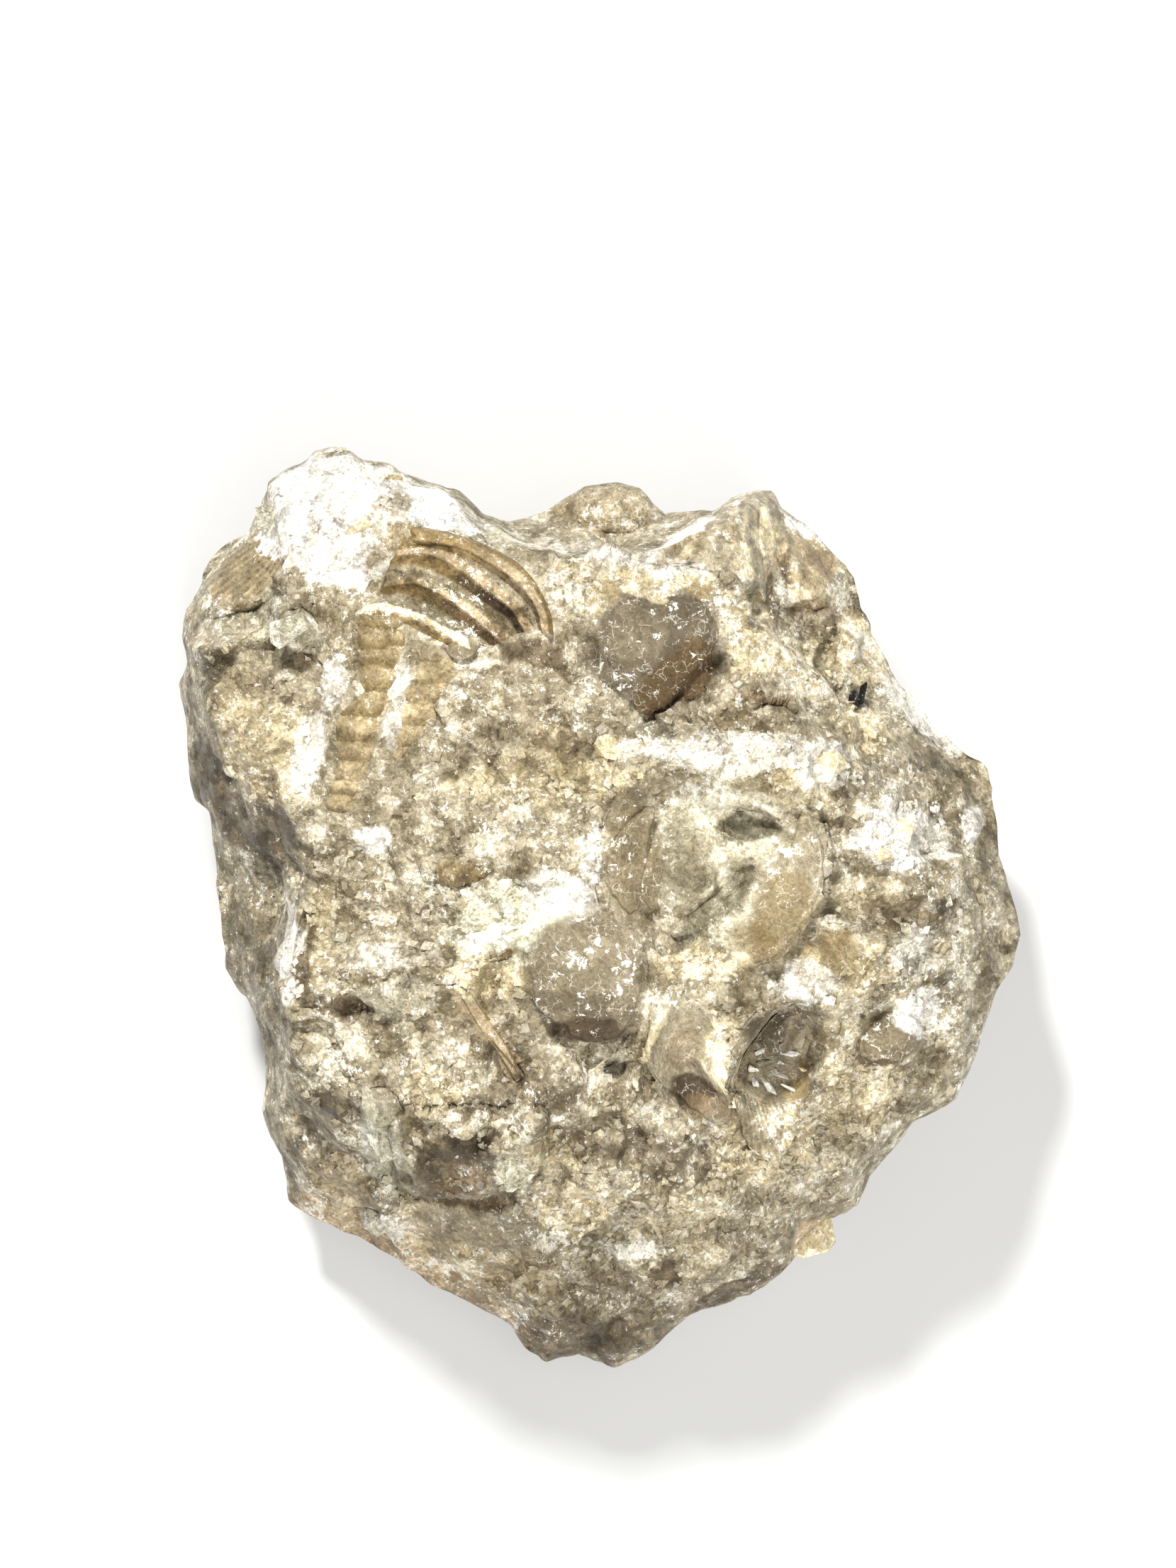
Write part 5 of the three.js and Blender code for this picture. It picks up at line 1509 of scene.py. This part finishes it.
def build_fossils(material):
    build_flank(material)
    for name, parts in RINGED.items():
        build_ringed(name, *parts, material)
    for name, parts in SKINS.items():
        build_skin(name, *parts, material)
    for name, parts in BANDS.items():
        build_band(name, *parts, material)


# ----------------------------------------------------------------- materials


class Nodes:
    """A short way to write shader nodes."""

    def __init__(self, name):
        self.material = bpy.data.materials.new(name)
        self.material.use_nodes = True
        self.tree = self.material.node_tree
        self.tree.nodes.clear()

    def add(self, kind, inputs=None, **settings):
        node = self.tree.nodes.new("ShaderNode" + kind)
        for key, value in settings.items():
            setattr(node, key, value)
        for key, value in (inputs or {}).items():
            self.feed(node.inputs[key], value)
        return node

    def feed(self, socket, value):
        if isinstance(value, bpy.types.NodeSocket):
            self.tree.links.new(value, socket)
        else:
            socket.default_value = value

    def math(self, operation, a, b):
        return self.add("Math", {0: a, 1: b}, operation=operation).outputs[0]

    def vector(self, operation, a, b=(0, 0, 0)):
        node = self.add("VectorMath", {0: a, 1: b}, operation=operation)
        return node.outputs["Value" if operation == "DOT_PRODUCT" else "Vector"]

    def blend(self, share, a, b, mode="MIX"):
        node = self.add("Mix", data_type="RGBA", blend_type=mode)
        for socket, value in ((node.inputs[0], share), (node.inputs[6], a), (node.inputs[7], b)):
            self.feed(socket, value)
        return node.outputs[2]

    def span(self, value, name):
        """What the listed span makes of a value."""
        low, high, to_low, to_high = SPANS[name]
        ends = {"From Min": low, "From Max": high, "To Min": to_low, "To Max": to_high}
        return self.add("MapRange", {"Value": value, **ends}).outputs["Result"]

    def noise(self, place, name):
        """The listed noise of the grain."""
        size, detail, rough = GRAIN_NOISES[name]
        inputs = {"Vector": place, "Scale": 1 / size, "Detail": detail, "Roughness": rough}
        return self.add("TexNoise", inputs).outputs["Fac"]

    def cells(self, place, name, **settings):
        return self.add("TexVoronoi", {"Vector": place, "Scale": 1 / CELLS[name]}, **settings)

    def random(self, cells):
        """Three random numbers for each cell."""
        return self.add("SeparateColor", {"Color": cells.outputs["Color"]}).outputs

    def grey(self, value):
        return self.add("CombineColor", {0: value, 1: value, 2: value}).outputs[0]

    def facets(self, place, name):
        """Height of flat facets tilted at random."""
        cells = self.cells(place, name)
        lean = self.vector("SUBTRACT", cells.outputs["Color"], HALF)
        away = self.vector("SUBTRACT", place, cells.outputs["Position"])
        return self.vector("DOT_PRODUCT", lean, away)


def stone_colour(name):
    return (*linear_colour(STONE_COLOURS[name]), 1)


def drawn_out(n, place):
    """Places squeezed along Y over the front of the lump, so that its grain is long."""
    parts = n.add("SeparateXYZ", {0: place}).outputs
    below = n.math("MINIMUM", n.math("ADD", parts[1], -LONG_BELOW), 0.0)
    above = n.math("MAXIMUM", parts[1], LONG_BELOW)
    squeezed = n.math("ADD", above, n.math("MULTIPLY", below, LONG_STRETCH))
    return n.add("CombineXYZ", {0: parts[0], 1: squeezed, 2: parts[2]}).outputs[0]


def warped_place(n, place):
    """Places pushed about a little, so that cells have crooked edges."""
    swirl = n.add("TexNoise", {"Vector": place, "Scale": SWIRL_SCALE, "Detail": SWIRL_DETAIL})
    drift = n.vector("SUBTRACT", swirl.outputs["Color"], HALF)
    inputs = {0: drift, 1: (SWIRL_REACH,) * 3, 2: place}
    return n.add("VectorMath", inputs, operation="MULTIPLY_ADD").outputs[0]


def crystal_tones(n, place, tint, smooth, mist, grains):
    """The tint with the tones of its crystals, fainter on smooth shell."""
    full = stone_colour("full")
    patches = n.random(n.cells(place, "patches"))
    shade = n.blend(n.span(mist, "mist"), stone_colour("mist"), full)
    patch = n.blend(patches[0], stone_colour("patch"), full)
    grain = n.blend(grains[0], stone_colour("grain"), full)
    tones = n.blend(1.0, n.blend(1.0, shade, patch, "MULTIPLY"), grain, "MULTIPLY")
    tones = n.blend(n.span(smooth, "tones on shell"), tones, stone_colour("shell"))
    bright = n.add("RGBToBW", {0: tint}).outputs[0]
    tones = n.blend(n.span(bright, "tones on pale rock"), tones, full)
    fine = n.span(n.noise(place, "fine"), "fine tones")
    fine = n.math("POWER", fine, n.span(smooth, "fine tones on shell"))
    return n.blend(1.0, n.blend(1.0, tint, tones, "MULTIPLY"), n.grey(fine), "MULTIPLY")


def veins(n, warped, place):
    """Thin broken lines of spar, as found on smooth shell."""
    cracks = n.cells(warped, "veins", feature="DISTANCE_TO_EDGE")
    lines = n.span(cracks.outputs["Distance"], "cracks")
    return n.math("MULTIPLY", lines, n.span(n.noise(place, "vein gaps"), "vein gaps"))


def white_powder(n, colour, places, mist, bright, speckle, flakes):
    """The colour with white powder over it, in flakes on smooth shell."""
    long_place, warped = places
    rock_powder, shell_powder = n.noise(long_place, "rock powder"), n.noise(warped, "shell powder")
    powder = n.blend(flakes, rock_powder, shell_powder)
    powder = n.math("ADD", powder, n.span(mist, "powder in mist"))
    powder = n.math("ADD", powder, n.span(bright, "powder on pale rock"))
    powder = n.math("ADD", powder, n.span(speckle, "powder by marks"))
    white = n.math("MULTIPLY", n.span(powder, "powder"), POWDER_STRENGTH)
    return n.blend(white, colour, stone_colour("powder"))


def dark_specks_and_hollow_shade(n, colour, place, mist, bright, rough, depth):
    """The colour with dark specks, and painted shade that darkens it in hollows."""
    dark = n.math("ADD", n.noise(place, "specks"), n.span(mist, "specks in mist"))
    dark = n.math("MULTIPLY", n.span(dark, "specks"), n.span(rough, "specks on rock"))
    dark = n.math("MULTIPLY", dark, n.span(bright, "specks on pale rock"))
    colour = n.blend(dark, colour, stone_colour("speck"))
    return n.blend(n.span(depth, "hollows"), colour, stone_colour("hollow"), "MULTIPLY")


def crystal_relief(n, place, long_place, warped, rough):
    """The bump of large and small facets and of fine grain."""
    large = n.math("MULTIPLY", n.facets(long_place, "large facets"), LARGE_FACETS)
    small = n.math("MULTIPLY", n.facets(warped, "small facets"), SMALL_FACETS)
    relief = n.math("MULTIPLY", n.math("ADD", large, small), n.span(rough, "relief on rock"))
    fine = n.math("MULTIPLY", n.noise(place, "relief"), FINE_RELIEF)
    height = n.math("ADD", relief, fine)
    return n.add("Bump", {"Height": height, "Strength": 1.0, "Distance": RELIEF_REACH})


def limestone():
    """Sparry limestone: tinted crystals, white powder, dark specks, painted shade in hollows, and
    facets.
    """
    n = Nodes("limestone")
    place = n.vector("MULTIPLY", n.add("TexCoord").outputs["Object"], GRAIN_SCALE)
    tint = n.add("Attribute", attribute_name="tint").outputs["Color"]
    marks = n.add("Attribute", attribute_name="marks").outputs["Color"]
    smooth, depth, speckle = n.add("SeparateColor", {"Color": marks}).outputs
    rough = n.math("SUBTRACT", 1.0, smooth)
    bright = n.add("RGBToBW", {0: tint}).outputs[0]

    long_place = drawn_out(n, place)
    warped = warped_place(n, long_place)
    grains = n.random(n.cells(warped, "grains"))
    mist = n.noise(place, "mist")
    flakes = n.span(smooth, "flakes")
    colour = crystal_tones(n, warped, tint, smooth, mist, grains)
    colour = white_powder(n, colour, (long_place, warped), mist, bright, speckle, flakes)
    vein = n.math("MULTIPLY", veins(n, warped, place), flakes)
    colour = n.blend(vein, colour, stone_colour("vein"))
    colour = dark_specks_and_hollow_shade(n, colour, place, mist, bright, rough, depth)

    surface = n.add("BsdfPrincipled", {
        "Base Color": colour, "Roughness": n.span(grains[1], "gloss"),
        "Normal": crystal_relief(n, place, long_place, warped, rough).outputs[0],
        "Specular IOR Level": SPECULAR,
    })
    n.add("OutputMaterial", {"Surface": surface.outputs[0]})
    return n.material


def plain_floor():
    n = Nodes("floor")
    place = n.add("TexCoord").outputs["Object"]
    colour = n.grey(n.span(n.noise(place, "floor"), "floor"))
    surface = n.add("BsdfPrincipled", {"Base Color": colour, "Roughness": FLOOR_ROUGHNESS})
    n.add("OutputMaterial", {"Surface": surface.outputs[0]})
    return n.material


# ------------------------------------------------------------ floor and light


def build_floor():
    mesh = bpy.data.meshes.new("floor")
    signs = ((-1, -1), (1, -1), (1, 1), (-1, 1))
    corners = [(x * FLOOR_HALF, y * FLOOR_HALF, 0) for x, y in signs]
    mesh.from_pydata(corners, [], [(0, 1, 2, 3)])
    mesh.materials.append(plain_floor())
    floor = bpy.data.objects.new("floor", mesh)
    bpy.context.scene.collection.objects.link(floor)


def add_light(name, at, size, watts, colour):
    light = bpy.data.lights.new(name, "AREA")
    light.shape = "DISK"
    light.size = size
    light.energy = watts
    light.color = colour
    lamp = bpy.data.objects.new(name, light)
    lamp.location = at
    aim = -lamp.location.normalized()
    lamp.rotation_euler = aim.to_track_quat("-Z", "Y").to_euler()
    bpy.context.scene.collection.objects.link(lamp)


def build_lights():
    for name, light in LIGHTS.items():
        add_light(name, *light)
    world = bpy.data.worlds.new("studio")
    world.use_nodes = True
    sky = world.node_tree.nodes["Background"].inputs
    sky["Color"].default_value = SKY_COLOUR
    sky["Strength"].default_value = SKY_STRENGTH
    bpy.context.scene.world = world
    bpy.context.scene.view_settings.view_transform = "Standard"


def build_camera():
    lens = bpy.data.cameras.new("camera")
    lens.sensor_width = SENSOR
    lens.sensor_fit = "AUTO"
    lens.lens = SENSOR / FRAME_HEIGHT_SHARE
    lens.clip_start = CLIP_START
    camera = bpy.data.objects.new("camera", lens)
    camera.location = [value * MM for value in CAMERA_AT]
    bpy.context.scene.collection.objects.link(camera)
    bpy.context.scene.camera = camera


stone = limestone()
rock = build_rock(stone)
build_fossils(stone)
build_crystals(stone)
build_grains(rock, stone)
build_floor()
build_lights()
build_camera()
